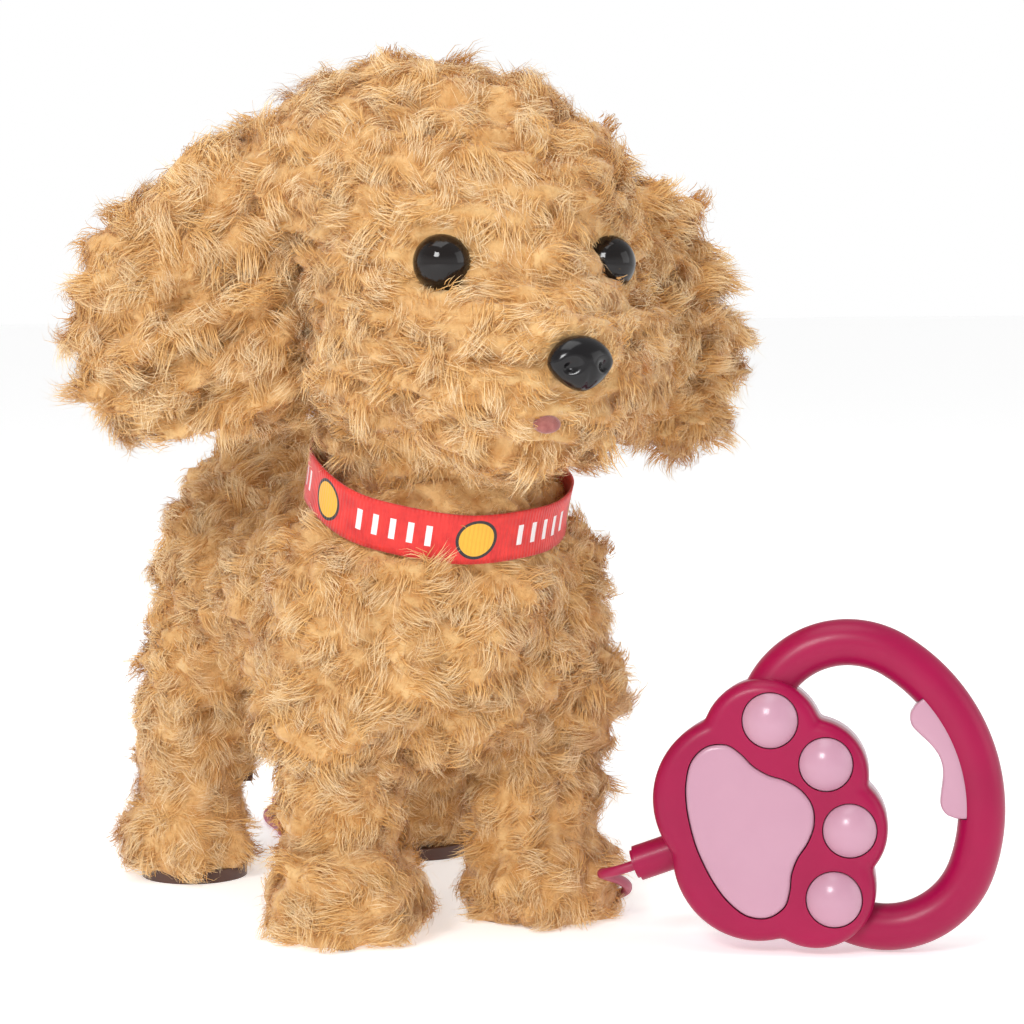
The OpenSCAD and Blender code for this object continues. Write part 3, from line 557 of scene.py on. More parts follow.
def strand_mesh(name, line, side, widths, tint, reach, material):
    """A ribbon with a pointed tip per strand, with its hue and height in the pile as its UV."""
    m, n = line.shape[:2]
    per = 2 * n - 1
    half = side * widths[:, :, None] / 2
    verts = np.empty((m, per, 3))
    verts[:, 0:per - 1:2] = line[:, :-1] - half[:, :-1]
    verts[:, 1:per - 1:2] = line[:, :-1] + half[:, :-1]
    verts[:, per - 1] = line[:, -1]
    verts = to_frame(verts.reshape(-1, 3))
    first = np.arange(m)[:, None] * per
    corners = []
    for i in range(n - 2):
        corners.append(first + [[2 * i, 2 * i + 1, 2 * i + 3, 2 * i + 2]])
    quads = np.stack(corners, axis=1).reshape(-1, 4)
    tips = first + [[per - 3, per - 2, per - 1]]
    loops = np.concatenate([quads.ravel(), tips.ravel()])
    starts = np.concatenate([np.arange(len(quads)) * 4,
                             len(quads) * 4 + np.arange(len(tips)) * 3])
    mesh = bpy.data.meshes.new(name)
    mesh.vertices.add(len(verts))
    mesh.vertices.foreach_set("co", verts.astype(np.float32).ravel())
    mesh.loops.add(len(loops))
    mesh.loops.foreach_set("vertex_index", loops.astype(np.int32))
    mesh.polygons.add(len(starts))
    mesh.polygons.foreach_set("loop_start", starts.astype(np.int32))
    mesh.polygons.foreach_set("use_smooth", np.ones(len(starts), bool))
    layer = mesh.uv_layers.new(name="OFBake")
    places = np.empty((m, per, 2), np.float32)
    places[..., 0] = tint[:, None]
    heights = np.repeat(np.linspace(0.01, 0.99, n), 2)[:per]
    places[..., 1] = heights[None, :] * reach[:, None]
    layer.data.foreach_set("uv", places.reshape(-1, 2)[loops].ravel())
    mesh.update()
    mesh.materials.append(material)
    obj = bpy.data.objects.new(name, mesh)
    bpy.context.scene.collection.objects.link(obj)
    return obj


def make_plush(name, skin, mats, seed, length=10.5, spacing=4.2, keep=None, shorten=None,
               **looks):
    """The backing and its locks, as a few pieces small enough to handle. Returns the pieces."""
    backing = new_object(name + "_backing", to_frame(skin.verts), skin.faces, mats["backing"])
    points, normals = skin.scatter(spacing)
    if keep is not None:
        chosen = keep(points)
        points, normals = points[chosen], normals[chosen]
    lengths = length * (0.85 + 0.3 * rng.random(len(points)))
    if shorten is not None:
        lengths = lengths * shorten(points)
    chosen = lengths > 1.5
    points, normals, lengths = points[chosen], normals[chosen], lengths[chosen]
    parts = grow_locks(points, normals, lengths, seed, **looks)
    pieces = [backing]
    count = len(parts[0])
    groups = max(1, math.ceil(count / STRAND_LIMIT))
    for i in range(groups):
        rows = slice(i * count // groups, (i + 1) * count // groups)
        chunk = [part[rows] for part in parts]
        pieces.append(strand_mesh(f"{name}_pile_{i + 1}", *chunk, mats["pile"]))
    return pieces


def turned(z, y):
    """Turn about Y, then about Z, in degrees."""
    return Matrix.Rotation(math.radians(z), 3, "Z") @ Matrix.Rotation(math.radians(y), 3, "Y")


HEAD_LUMPS = [
    ((0, -62, 203), (50, 49, 50)),
    ((-11, -57, 224), (43, 38, 32)),
    ((-35, -46, 223), (27, 24, 24)),
    ((0, -96, 169), (37, 31, 31)),
    ((0, -111, 174), (24, 19, 19)),
    ((29, -79, 171), (26, 27, 26)),
    ((-27, -77, 173), (25, 27, 24)),
    ((0, -50, 156), (35, 34, 22)),
    ((0, -46, 143), (36, 35.5, 15)),
    ((0, -90, 212), (34, 20, 22)),
    ((3, -99, 194), (21, 17, 18)),
]
TORSO_LUMPS = [
    ((0, -38, 91), (51, 42, 43)),
    ((0, 5, 95), (45, 50, 43)),
    ((-2, 48, 97), (48, 47, 47)),
    ((0, -45, 125), (35.5, 35.5, 27)),
    ((0, -44, 104), (42, 36, 26)),
    ((28, -47, 106), (22, 22, 24)),
    ((33, -44, 70), (25, 25, 30)),
    ((-31, -44, 68), (23, 24, 24)),
    ((34, 54, 70), (20, 25, 24)),
    ((-34, 54, 70), (20, 25, 24)),
]
COLLAR_CENTRE = np.array([0.0, -45.0, 131.3])
COLLAR_TILT = math.radians(18.5)
COLLAR_TURN = np.array(Matrix.Rotation(COLLAR_TILT, 3, "X"))
COLLAR_R = 38.6
COLLAR_W = 15.0
NECK_R = 37.0
EYE = np.array([27.0, -103.0, 197.6])
EYE_R = 8.0
# How far each eye is sunk in the plush
EYE_SINK = {RIGHT: 1.0, LEFT: 2.0}
NOSE = np.array([0.0, -133.0, 170.6])
MOUTH = np.array([-6.5, -126.0, 154.0])
LEGS = {
    "front_left": (LEFT, 29.0, -44.0), "front_right": (RIGHT, 29.0, -44.0),
    "rear_left": (LEFT, 40.0, 55.0), "rear_right": (RIGHT, 40.0, 55.0),
}
# Of each leg: height of the plush's lower edge, forward shift of the foot, half width of the
# shank, radius of the foot, outward shift, and place of the lump towards the body
LEG_SHAPES = {
    "front_left": (0.4, -5, 22.5, 22.0, 2.5, 27), "front_right": (0.4, -3, 18.5, 22.5, 2.5, 27),
    "rear_left": (2.2, 3, 16.0, 18.0, 1.5, 31), "rear_right": (2.2, 3, 16.0, 20.0, 1.5, 31),
}


# Lowest that a strand may reach
FLOOR_GAP = 0.6
# No locks grow nearer than this to the middle of each
NOSE_CLEAR = 10.5
MOUTH_CLEAR = 4.5
EYE_CLEAR = 7.6
# Upward direction of the tilted neck in the Y-Z plane, and its height where the plush stops
NECK_UP = (-0.276, 0.961)
NECK_TOP = 12.0
COLLAR_SHADE = -9.5


def distance(points, centre):
    return np.linalg.norm(points - np.asarray(centre), axis=1)


def make_head(mats):
    skin = Skin("head", HEAD_LUMPS)

    def face_clear(points):
        keep = (distance(points, NOSE) > NOSE_CLEAR) & (distance(points, MOUTH) > MOUTH_CLEAR)
        for side in (LEFT, RIGHT):
            keep &= distance(points, EYE * (side, 1, 1)) > EYE_CLEAR
        # Inside the collar nothing shows
        keep &= ~((points[:, 2] < 150) & (np.hypot(points[:, 0], points[:, 1] + 46) < 26))
        return keep

    def shorten(points):
        near = np.ones(len(points))
        for side in (LEFT, RIGHT):
            near = np.minimum(near, 0.45 + (distance(points, EYE * (side, 1, 1)) - 7) / 26)
        near = np.minimum(near, 0.5 + (distance(points, NOSE) - 10) / 40)
        near = np.minimum(near, 0.5 + (distance(points, MOUTH) - 4) / 24)
        return near

    pieces = make_plush("head", skin, mats, 11, keep=face_clear, shorten=shorten)
    for piece in pieces:
        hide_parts("head_fur")
    for piece in pieces:
        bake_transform(piece)


def make_ears(mats):
    for side, label in ((LEFT, "left"), (RIGHT, "right")):
        if side == RIGHT:
            lumps = [
                ((-73, -28, 187), (31, 14, 40), turned(-25, 28)),
                ((-76, -26, 175), (28, 15, 29), turned(-25, 28)),
                ((-58, -36, 210), (24, 17, 23), turned(-20, 34)),
                ((-54, -34, 184), (21, 18, 23)),
                ((-52, -40, 169), (16, 15, 18)),
            ]
        else:
            lumps = [
                ((82, -28, 182), (30, 13, 44), turned(25, -24)),
                ((88, -27, 168), (30, 14, 31), turned(25, -24)),
                ((60, -36, 208), (21, 15, 22), turned(20, -30)),
            ]
        skin = Skin("ear_" + label, lumps)
        pieces = make_plush("ear_" + label, skin, mats, 30 + side, length=11.5,
                            comb=(0.15 * side, 0, -0.45))
        for piece in pieces:
            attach(piece, "head")
            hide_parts("ear_" + label)


def height_on_neck(points):
    """Height above the collar's middle, measured along the tilted neck."""
    return (points[:, 1:] - (-45, 132)) @ np.array(NECK_UP)


def make_torso(mats):
    def inside_collar(verts):
        """Draw the neck in where the collar goes round it."""
        local = (verts - COLLAR_CENTRE) @ COLLAR_TURN
        beside = np.abs(local[:, 2]) < COLLAR_W / 2 + 1.5
        reach = np.hypot(local[:, 0], local[:, 1])
        shrink = np.where(beside, np.minimum(1.0, NECK_R / np.maximum(reach, 1e-6)), 1.0)
        local[:, :2] *= shrink[:, None]
        return local @ COLLAR_TURN.T + COLLAR_CENTRE

    skin = Skin("torso", TORSO_LUMPS, trim=inside_collar)

    def below_collar(points):
        keep = height_on_neck(points) < NECK_TOP
        for side, foot_x, foot_y in LEGS.values():
            inside = np.hypot(points[:, 0] - side * foot_x, points[:, 1] - foot_y) < 13
            keep &= ~(inside & (points[:, 2] < 60))
        return keep

    def shorten(points):
        return np.where(height_on_neck(points) > COLLAR_SHADE, 0.32, 1.0)

    pieces = make_plush("torso", skin, mats, 50, keep=below_collar, shorten=shorten,
                        comb=(0, 0.2, -0.45))
    for piece in pieces:
        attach(piece, "root")
        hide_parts("torso_fur")


def make_legs(mats):
    """Four plush legs, each with a flat lower edge round its sole."""
    for seed, (label, (side, foot_x, foot_y)) in enumerate(LEGS.items()):
        x = side * foot_x
        sole, lean, wide, foot, out, inner = LEG_SHAPES[label]
        middle = x + side * out
        lumps = [
            ((middle, foot_y, 56), (wide, 17, 24)),
            ((middle, foot_y, 34), (wide, 17, 28)),
            ((side * inner, foot_y, 54), (14, 17, 26)),
            ((middle, foot_y + lean, 15), (foot, foot + 1.5, 14)),
            ((middle, foot_y + lean, sole + 6), (foot + 1.5, foot + 2.5, 10)),
        ]

        def flatten(verts, low=sole):
            verts = verts.copy()
            verts[:, 2] = np.maximum(verts[:, 2], low)
            return verts

        skin = Skin("leg_" + label, lumps, voxel=2.6, rounds=6, relief=1.9, trim=flatten)

        def above_sole(points, low=sole):
            return points[:, 2] > low + FLOOR_GAP

        pieces = make_plush("leg_" + label, skin, mats, 70 + seed, length=9.5, keep=above_sole,
                            comb=(0, 0, -0.35))
        for piece in pieces:
            keep_above(piece, FLOOR_GAP)
            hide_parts("leg_fur_" + label)
        for piece in pieces:
            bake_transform(piece)


def keep_above(obj, low):
    """Lift every point below low (millimetres) to it, so nothing pokes through the floor."""
    mesh = obj.data
    co = np.empty(len(mesh.vertices) * 3, np.float32)
    mesh.vertices.foreach_get("co", co)
    co = co.reshape(-1, 3)
    co[:, 2] = np.maximum(co[:, 2], low * MM)
    mesh.vertices.foreach_set("co", co.ravel())
    mesh.update()


def make_tail(mats):
    lumps = [
        ((0, 96, 116), (9, 10, 9)),
        ((0, 95, 129), (10, 11, 13)),
        ((0, 90, 142), (11, 13, 11)),
    ]
    skin = Skin("tail", lumps, voxel=2.0, rounds=6)
    pieces = make_plush("tail", skin, mats, 90, length=9.5, comb=(0, 0, 0.5))
    for piece in pieces:
        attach(piece, "tail")
        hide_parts("tail_fur")


# ---------------------------------------------------------------- face

def make_eyes(mats):
    for side, label in ((LEFT, "left"), (RIGHT, "right")):
        centre = EYE * (side, 1, 1)
        out = unit(centre - np.array([0, -64, 196.0]))
        centre = centre - out * EYE_SINK[side]
        bm = bmesh.new()
        bmesh.ops.create_uvsphere(bm, u_segments=48, v_segments=32, radius=EYE_R * MM)
        turn = Vector(out).to_track_quat("Z", "Y").to_matrix().to_4x4()
        bmesh.ops.transform(bm, matrix=Matrix.Translation(to_frame(centre)) @ turn, verts=bm.verts)
        obj = from_bmesh("eye_dome_" + label, bm, mats["eye"])
        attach(obj, "head")
        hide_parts("eye_" + label)


def make_mouth(mats):
    """Small soft patch of the tongue that shows in the fur."""
    bm = bmesh.new()
    bmesh.ops.create_uvsphere(bm, u_segments=32, v_segments=20, radius=1)
    place = Matrix.Translation(to_frame(MOUTH)) @ (
        Matrix.Rotation(math.radians(-30), 4, "Z") @ Matrix.Rotation(math.radians(28), 4, "X")
        @ Matrix.Diagonal((3.8 * MM, 3.2 * MM, 2.3 * MM, 1)))
    bmesh.ops.transform(bm, matrix=place, verts=bm.verts)
    obj = from_bmesh("tongue_patch", bm, mats["felt"])
    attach(obj, "head")
    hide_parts("tongue")


def make_nose(mats):
    """Rounded three-cornered nose with two nostrils."""
    bm = bmesh.new()
    bmesh.ops.create_icosphere(bm, subdivisions=5, radius=1)
    half_width, tall, deep = 9.6, 7.6, 6.2
    for v in bm.verts:
        x, y, z = v.co
        wide = half_width * (1 - 0.34 * max(0.0, -z) ** 1.2) * (1 - 0.06 * max(0.0, z))
        px, py, pz = x * wide, y * deep, z * tall
        for side in (LEFT, RIGHT):
            d2 = ((px - side * 5.0) / 2.1) ** 2 + ((pz + 1.6) / 1.7) ** 2
            if y < 0:
                py += 2.6 * math.exp(-d2)
        if y < 0:
            py += 0.7 * math.exp(-(px / 0.8) ** 2) * max(0.0, -z)
        v.co = (px, py, pz)
    place = Matrix.Translation(to_frame(NOSE)) @ Matrix.Rotation(math.radians(-12), 4, "X")
    bmesh.ops.transform(bm, matrix=place @ Matrix.Scale(MM, 4), verts=bm.verts)
    obj = from_bmesh("nose_button", bm, mats["nose"])
    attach(obj, "head")
    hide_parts("nose")


# ---------------------------------------------------------------- collar

def make_collar(mats):
    """Ribbed ribbon ring with a slight wave, thickness and rolled selvedges."""
    rings, around = 9, 192
    verts, faces, places = [], [], []
    for layer, grow in ((0, 0.0), (1, 0.7)):
        for j in range(rings):
            across = (j / (rings - 1) - 0.5) * COLLAR_W
            for i in range(around):
                a = 2 * math.pi * i / around
                wave = 0.5 * math.sin(3 * a + 0.6) + 0.25 * math.sin(7 * a)
                flare = 0.25 * (across / 7.5) ** 2
                r = COLLAR_R + grow + flare + 0.25 * math.sin(5 * a + 1)
                local = np.array([r * math.sin(a), -r * math.cos(a), across + wave])
                verts.append(COLLAR_CENTRE + COLLAR_TURN @ local)
                places.append((i / around, j / (rings - 1)))

    def strip(low, high):
        """Quads from one ring to another, each ring given as its layer and row."""
        a, b = ((layer * rings + row) * around for layer, row in (low, high))
        for i in range(around):
            k = (i + 1) % around
            faces.append((a + i, a + k, b + k, b + i))

    last = rings - 1
    for j in range(last):
        strip((1, j), (1, j + 1))
        strip((0, j + 1), (0, j))
    strip((0, 0), (1, 0))
    strip((1, last), (0, last))
    obj = new_object("collar_ribbon", to_frame(verts), faces, mats["ribbon"])
    layer = obj.data.uv_layers.new(name="OFBake")
    for poly in obj.data.polygons:
        columns = [v % around for v in poly.vertices]
        seam = 0 in columns and around - 1 in columns
        inner = all(v < rings * around for v in poly.vertices)
        for loop, vert in zip(poly.loop_indices, poly.vertices):
            u, v = places[vert]
            if seam and vert % around == 0:
                u = 1.0
            layer.data[loop].uv = (u, v * 0.48 + (0.5 if inner else 0.01))
    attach(obj, "root")
    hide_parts("collar")


def ribbon_material():
    """Red grosgrain ribbon printed with yellow spots in dark rings and plain white bars."""
    mat = simple_material("ribbon", (0.72, 0.02, 0.015), 0.55)
    g = Graph(mat)
    split = g.add("ShaderNodeSeparateXYZ")
    g.link(g.add("ShaderNodeUVMap", uv_map="OFBake").outputs["UV"], split.inputs["Vector"])

    def math_node(op, a, b=None):
        node = g.add("ShaderNodeMath", operation=op)
        for socket, value in zip(node.inputs, (a, b)):
            if value is None:
                continue
            if isinstance(value, (int, float)):
                socket.default_value = value
            else:
                g.link(value, socket)
        return node.outputs[0]

    repeats = 5
    cell_mm = 2 * math.pi * COLLAR_R / repeats
    first_spot = 0.3667
    cells = math_node("MULTIPLY", split.outputs["X"], repeats)
    along = math_node("FRACT", math_node("ADD", cells, first_spot))
    x = math_node("MULTIPLY", math_node("SUBTRACT", along, 0.25), cell_mm)
    y = math_node("MULTIPLY", math_node("SUBTRACT", split.outputs["Y"], 0.25), COLLAR_W / 0.48)
    squares = math_node("ADD", math_node("MULTIPLY", x, x), math_node("MULTIPLY", y, y))
    radius = math_node("SQRT", squares)
    spot = math_node("LESS_THAN", radius, 5.1)
    ring = math_node("LESS_THAN", radius, 6.0)
    outer = math_node("LESS_THAN", split.outputs["Y"], 0.5)
    # Five plain bars between spots
    bar_x = math_node("MULTIPLY", math_node("SUBTRACT", along, 0.75), cell_mm)
    stripe = math_node("ABSOLUTE", math_node("SUBTRACT", math_node("FRACT", math_node(
        "ADD", math_node("MULTIPLY", bar_x, 0.19), 0.5)), 0.5))
    bars = math_node("MULTIPLY", math_node("LESS_THAN", stripe, 0.17),
                     math_node("LESS_THAN", math_node("ABSOLUTE", bar_x), 13.0))
    bars = math_node("MULTIPLY", bars, math_node("LESS_THAN", math_node("ABSOLUTE", y), 3.1))

    def layer_colour(under, mask, colour):
        node = g.add("ShaderNodeMix", data_type="RGBA")
        g.link(math_node("MULTIPLY", mask, outer), node.inputs[0])
        g.link(under, node.inputs[6])
        node.inputs[7].default_value = (*colour, 1)
        return node.outputs[2]

    ribs = g.add("ShaderNodeTexWave", wave_type="BANDS", bands_direction="X", Scale=1.0)
    scaled = g.add("ShaderNodeMapping")
    scaled.inputs["Scale"].default_value = (62.0, 1.0, 1.0)
    g.link(g.add("ShaderNodeUVMap", uv_map="OFBake").outputs["UV"], scaled.inputs["Vector"])
    g.link(scaled.outputs["Vector"], ribs.inputs["Vector"])
    red = g.ramp(g.noise(260.0, 4.0), [(0.3, (0.58, 0.012, 0.012)), (0.7, (0.80, 0.03, 0.022))])
    colour = layer_colour(red, ring, (0.02, 0.016, 0.02))
    colour = layer_colour(colour, spot, (0.83, 0.43, 0.03))
    colour = layer_colour(colour, bars, (0.86, 0.80, 0.80))
    g.link(colour, g.shader.inputs["Base Color"])
    g.set("Sheen Weight", 0.2)
    g.bump(ribs.outputs["Fac"], 0.0002, 0.6)
    return mat


# ---------------------------------------------------------------- remote

REMOTE_AT = np.array([67.5, -112.0, 35.3])
REMOTE = (Matrix.Translation(to_frame(REMOTE_AT))
          @ Matrix.Rotation(math.radians(-35), 4, "Z")
          @ Matrix.Rotation(math.radians(85.2), 4, "X")
          @ Matrix.Rotation(math.radians(20.4), 4, "Z")
          @ Matrix.Scale(MM, 4))
PAW_CIRCLES = [((0, 8.5), 24.5), ((0, -8.5), 24.5), ((12.5, 22.5), 17.3), ((12.5, -22.5), 17.3),
               ((22, 8), 16.5), ((22, -8), 16.5)]
PAW_HUB = (8.0, 0.0)
TOES = [(16.6, 27.0, 8.0), (27.4, 10.0, 7.7), (27.4, -10.0, 7.7), (16.6, -27.0, 8.0)]
FRONT_DEPTH = 12.0
BACK_DEPTH = 18.0
RING_U = 35.9
BUTTON_GAP = 0.15
SCREWS = [(1, 29.5), (1, -29.5), (33, 0), (-19.3, 9), (-19.3, -9)]
# The handle's side arc: its centre along u, and the slot and trigger between radii from there
SIDE_CENTRE = -19.8
SLOT_SPAN = 23.1
TRIGGER_SPAN = 22.9
TRIGGER_HALF = 4.9


def in_remote(obj):
    """Place an object made in the remote's own millimetres."""
    obj.data.transform(REMOTE)
    return obj


def paw_outline(grow, count=288, soft=2):
    """Outline of the paw round its hub, grown outwards, with its creases eased a little."""
    hub = np.array(PAW_HUB)
    angles = np.linspace(0, 2 * math.pi, count, endpoint=False)
    ways = np.stack([np.cos(angles), np.sin(angles)], axis=1)
    reach = np.zeros(count)
    for centre, radius in PAW_CIRCLES:
        rel = hub - np.array(centre)
        b = ways @ rel
        c = rel @ rel - (radius + grow) ** 2
        root = b * b - c
        hit = np.where(root > 0, -b + np.sqrt(np.maximum(root, 0)), 0)
        reach = np.maximum(reach, hit)
    for _ in range(soft):
        reach = (np.roll(reach, 1) + 2 * reach + np.roll(reach, -1)) / 4
    flat = hub + ways * reach[:, None]
    flat[:, 0] = np.maximum(flat[:, 0], -24.5 - grow)
    return flat


def lofted(name, rings, material=None):
    """A closed skin through rings of equal count, each a list of points."""
    count = len(rings[0])
    verts = [tuple(p) for ring in rings for p in ring]
    faces = []
    for j in range(len(rings) - 1):
        for i in range(count):
            k = (i + 1) % count
            faces.append((j * count + i, j * count + k, (j + 1) * count + k, (j + 1) * count + i))
    verts.append(tuple(np.mean(rings[0], axis=0)))
    faces += [(len(verts) - 1, (i + 1) % count, i) for i in range(count)]
    verts.append(tuple(np.mean(rings[-1], axis=0)))
    last = (len(rings) - 1) * count
    faces += [(len(verts) - 1, last + i, last + (i + 1) % count) for i in range(count)]
    return new_object(name, verts, faces, material)


def at_height(flat, w):
    return [(x, y, w) for x, y in flat]


def fillet(outline, w, radius, steps=6, up=True):
    """Rings that round an edge off from the wall at height w inwards."""
    rings = []
    for k in range(steps + 1):
        a = math.pi / 2 * k / steps
        rise = radius * math.sin(a) * (1 if up else -1)
        rings.append(at_height(outline(-radius * (1 - math.cos(a))), w + rise))
    return rings


def cut(obj, cutters):
    """Boolean the cutters out of the object, then delete them."""
    for cutter in cutters:
        mod = obj.modifiers.new("cut", "BOOLEAN")
        mod.operation = "DIFFERENCE"
        mod.solver = "EXACT"
        mod.object = cutter
    bpy.context.view_layer.update()
    apply_modifiers(obj)
    for cutter in cutters:
        mesh = cutter.data
        bpy.data.objects.remove(cutter)
        bpy.data.meshes.remove(mesh)


def shade_by_angle(obj, degrees=35):
    """Smooth shading that stays sharp across hard edges."""
    mesh = obj.data
    bm = bmesh.new()
    bm.from_mesh(mesh)
    limit = math.radians(degrees)
    for edge in bm.edges:
        edge.smooth = len(edge.link_faces) == 2 and edge.calc_face_angle(0) < limit
    for face in bm.faces:
        face.smooth = True
    bm.to_mesh(mesh)
    bm.free()


def disc(name, centre, radius, low, high, count=64):
    ring = [(centre[0] + radius * math.cos(2 * math.pi * i / count),
             centre[1] + radius * math.sin(2 * math.pi * i / count)) for i in range(count)]
    return lofted(name, [at_height(ring, low), at_height(ring, high)])


PAD_HALF = [(-15.6, 0), (-15.2, 6), (-14.2, 12), (-12.2, 18), (-8.6, 23.4), (-3.2, 25.9), (2.4, 24.6),
            (5.6, 20.6), (7.6, 16.4), (10.8, 12.6), (15, 9.4), (18.4, 5.2), (19.8, 0)]


def pad_outline(grow, steps=9):
    """Heart-like outline of the pad: a smooth line through points, grown outwards."""
    half = np.array(PAD_HALF, float)
    whole = np.concatenate([half, half[-2:0:-1] * (1, -1)])
    n = len(whole)
    line = []
    for i in range(n):
        a, b, c, d = (whole[(i + k) % n] for k in (-1, 0, 1, 2))
        for t in np.arange(steps) / steps:
            line.append(0.5 * (2 * b + (c - a) * t + (2 * a - 5 * b + 4 * c - d) * t ** 2
                               + (3 * b - a - 3 * c + d) * t ** 3))
    line = np.array(line)
    way = unit(np.roll(line, -1, axis=0) - np.roll(line, 1, axis=0))
    out = np.stack([-way[:, 1], way[:, 0]], axis=1)
    return (line + out * grow)[::-1]


def make_paw(mats):
    """Front and back shells of the paw case."""
    rings = [at_height(paw_outline(0), 0.15), at_height(paw_outline(0), 3),
             at_height(paw_outline(0), FRONT_DEPTH - 4)]
    rings += fillet(paw_outline, FRONT_DEPTH - 4, 4.0)[1:]
    rings.append(at_height(paw_outline(-7), FRONT_DEPTH))
    front = lofted("paw_shell_front", rings, mats["magenta"])
    hole = pad_outline(BUTTON_GAP)
    cutters = [lofted("c", [at_height(hole, 4), at_height(hole, 30)])]
    for u, v, r in TOES:
        cutters.append(disc("c", (u, v), r + BUTTON_GAP, 4, 30))
    cut(front, cutters)
    bevel = front.modifiers.new("edge", "BEVEL")
    bevel.width = 0.35
    bevel.segments = 2
    bevel.limit_method = "ANGLE"
    bevel.angle_limit = math.radians(50)
    apply_modifiers(front)
    shade_by_angle(front, 40)
    in_remote(front)
    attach(front, "root")
    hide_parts("paw_front_cover")

    back_rings = [at_height(paw_outline(-0.2), -0.15), at_height(paw_outline(-0.2), -5),
                  at_height(paw_outline(-0.2), 5 - BACK_DEPTH)]
    back_rings += fillet(lambda g: paw_outline(g - 0.2), 5 - BACK_DEPTH, 5.0, up=False)[1:]
    back_rings.append(at_height(paw_outline(-8), -BACK_DEPTH))
    back = lofted("paw_shell_back", back_rings[::-1], mats["pink"])
    cutters = [box_block("c", (-12.8, -26.8, -BACK_DEPTH - 2), (19.3, 26.8, -BACK_DEPTH + 1.9))]
    for u, v in SCREWS:
        cutters.append(disc("c", (u, v), 2.2, -BACK_DEPTH - 2, -BACK_DEPTH + 7.4, 32))
    cut(back, cutters)
    shade_by_angle(back, 40)
    in_remote(back)
    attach(back, "root")
    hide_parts("paw_back_cover")


def box_block(name, low, high):
    x0, y0, z0 = low
    x1, y1, z1 = high
    ring = [(x0, y0), (x1, y0), (x1, y1), (x0, y1)]
    return lofted(name, [at_height(ring, z0), at_height(ring, z1)])


def make_buttons(mats):
    """The domed pad and the four domed toes."""
    rings = [at_height(pad_outline(-0.1), 8), at_height(pad_outline(-0.1), 11.2)]
    for k in range(1, 8):
        a = math.pi / 2 * k / 7
        rings.append(at_height(pad_outline(-0.1 - 1.6 * (1 - math.cos(a))), 11.2 + 1.3 * math.sin(a)))
    base = pad_outline(-1.7)
    hub = base.mean(axis=0)
    for k in range(1, 8):
        share = 1 - k / 8
        rings.append(at_height(hub + (base - hub) * share, 12.5 + 1.2 * (1 - share ** 2)))
    pad = in_remote(lofted("pad_button_cap", rings, mats["pearl"]))
    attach(pad, "pad_button")
    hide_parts("pad_button")
    for i, (u, v, r) in enumerate(TOES):
        rings = []
        count = 72
        angles = np.linspace(0, 2 * math.pi, count, endpoint=False)
        profile = [(r - 0.05, 8), (r - 0.05, 11.4), (r - 0.25, 12.0)]
        dome = 3.6
        big = ((r - 0.4) ** 2 + dome ** 2) / (2 * dome)
        edge = math.asin((r - 0.4) / big)
        for k in range(0, 12):
            a = edge * (1 - k / 12)
            profile.append((big * math.sin(a), 12.2 + dome - big * (1 - math.cos(a))))
        for radius, w in profile:
            rings.append([(u + radius * math.cos(a), v + radius * math.sin(a), w) for a in angles])
        toe = in_remote(lofted(f"toe_button_cap_{i + 1}", rings, mats["pearl"]))
        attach(toe, f"toe_button_{i + 1}")
        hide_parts(f"toe_button_{i + 1}")


def ring_path(extra=136.0, count=120):
    """Centre line of the oval handle, arc by arc, with its outward directions."""
    join, side_r, end_r = 38.76, 51.4, 26.0
    end_c = 15.9
    out = []
    arcs = [((RING_U, -end_c), end_r, -extra, -join), ((RING_U + SIDE_CENTRE, 0), side_r, -join, join),
            ((RING_U, end_c), end_r, join, extra)]
    for centre, radius, start, stop in arcs:
        for a in np.linspace(start, stop, count // 3, endpoint=False):
            t = math.radians(a)
            out.append((centre[0] + radius * math.cos(t), centre[1] + radius * math.sin(t),
                        math.cos(t), math.sin(t)))
    t = math.radians(extra)
    out.append((RING_U + end_r * math.cos(t), end_c + end_r * math.sin(t), math.cos(t), math.sin(t)))
    return out


def make_ring(mats):
    """Front and back halves of the handle's tube, with the trigger's slot."""
    tube = 6.7
    for label, sign in (("front", 1), ("back", -1)):
        section = [(math.pi * k / 20) for k in range(21)]
        rings = []
        for u, v, du, dv in ring_path():
            ring = []
            for a in section:
                rise = max(math.sin(a) * tube, 0.12)
                ring.append((u + du * tube * math.cos(a), v + dv * tube * math.cos(a), sign * rise))
            for k in range(1, 8):
                x = -tube * math.cos(math.pi * k / 8) * 0.97
                ring.append((u + du * x, v + dv * x, sign * 0.12))
            rings.append(ring if sign > 0 else ring[::-1])
        half = lofted("handle_" + label, rings, mats["magenta"])
        slot = sector_outline(30, 53.2, SLOT_SPAN)
        cut(half, [extruded("c", slot, -TRIGGER_HALF - 0.2, TRIGGER_HALF + 0.2)])
        shade_by_angle(half, 42)
        in_remote(half)
        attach(half, "root")
        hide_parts(f"ring_{label}_half")


def sector_outline(inner, outer, span, groove=0.0, ends=0.0, count=48):
    """Flat arc about the handle's side centre, its inner edge hollowed and its ends rounded."""
    centre = RING_U + SIDE_CENTRE
    angles = np.radians(np.linspace(-span, span, count))
    far_edge = [(centre + outer * math.cos(a), outer * math.sin(a)) for a in angles]
    near_edge = []
    for a in angles[::-1]:
        share = abs(a) / math.radians(span)
        dip = groove * math.cos(min(share * 1.25, 1) * math.pi / 2) ** 2
        short = max(0.0, ends - (1 - share) * math.radians(span) * inner)
        dip += ends - math.sqrt(max(ends * ends - short * short, 0))
        near_edge.append((centre + (inner + dip) * math.cos(a), (inner + dip) * math.sin(a)))
    return far_edge + near_edge


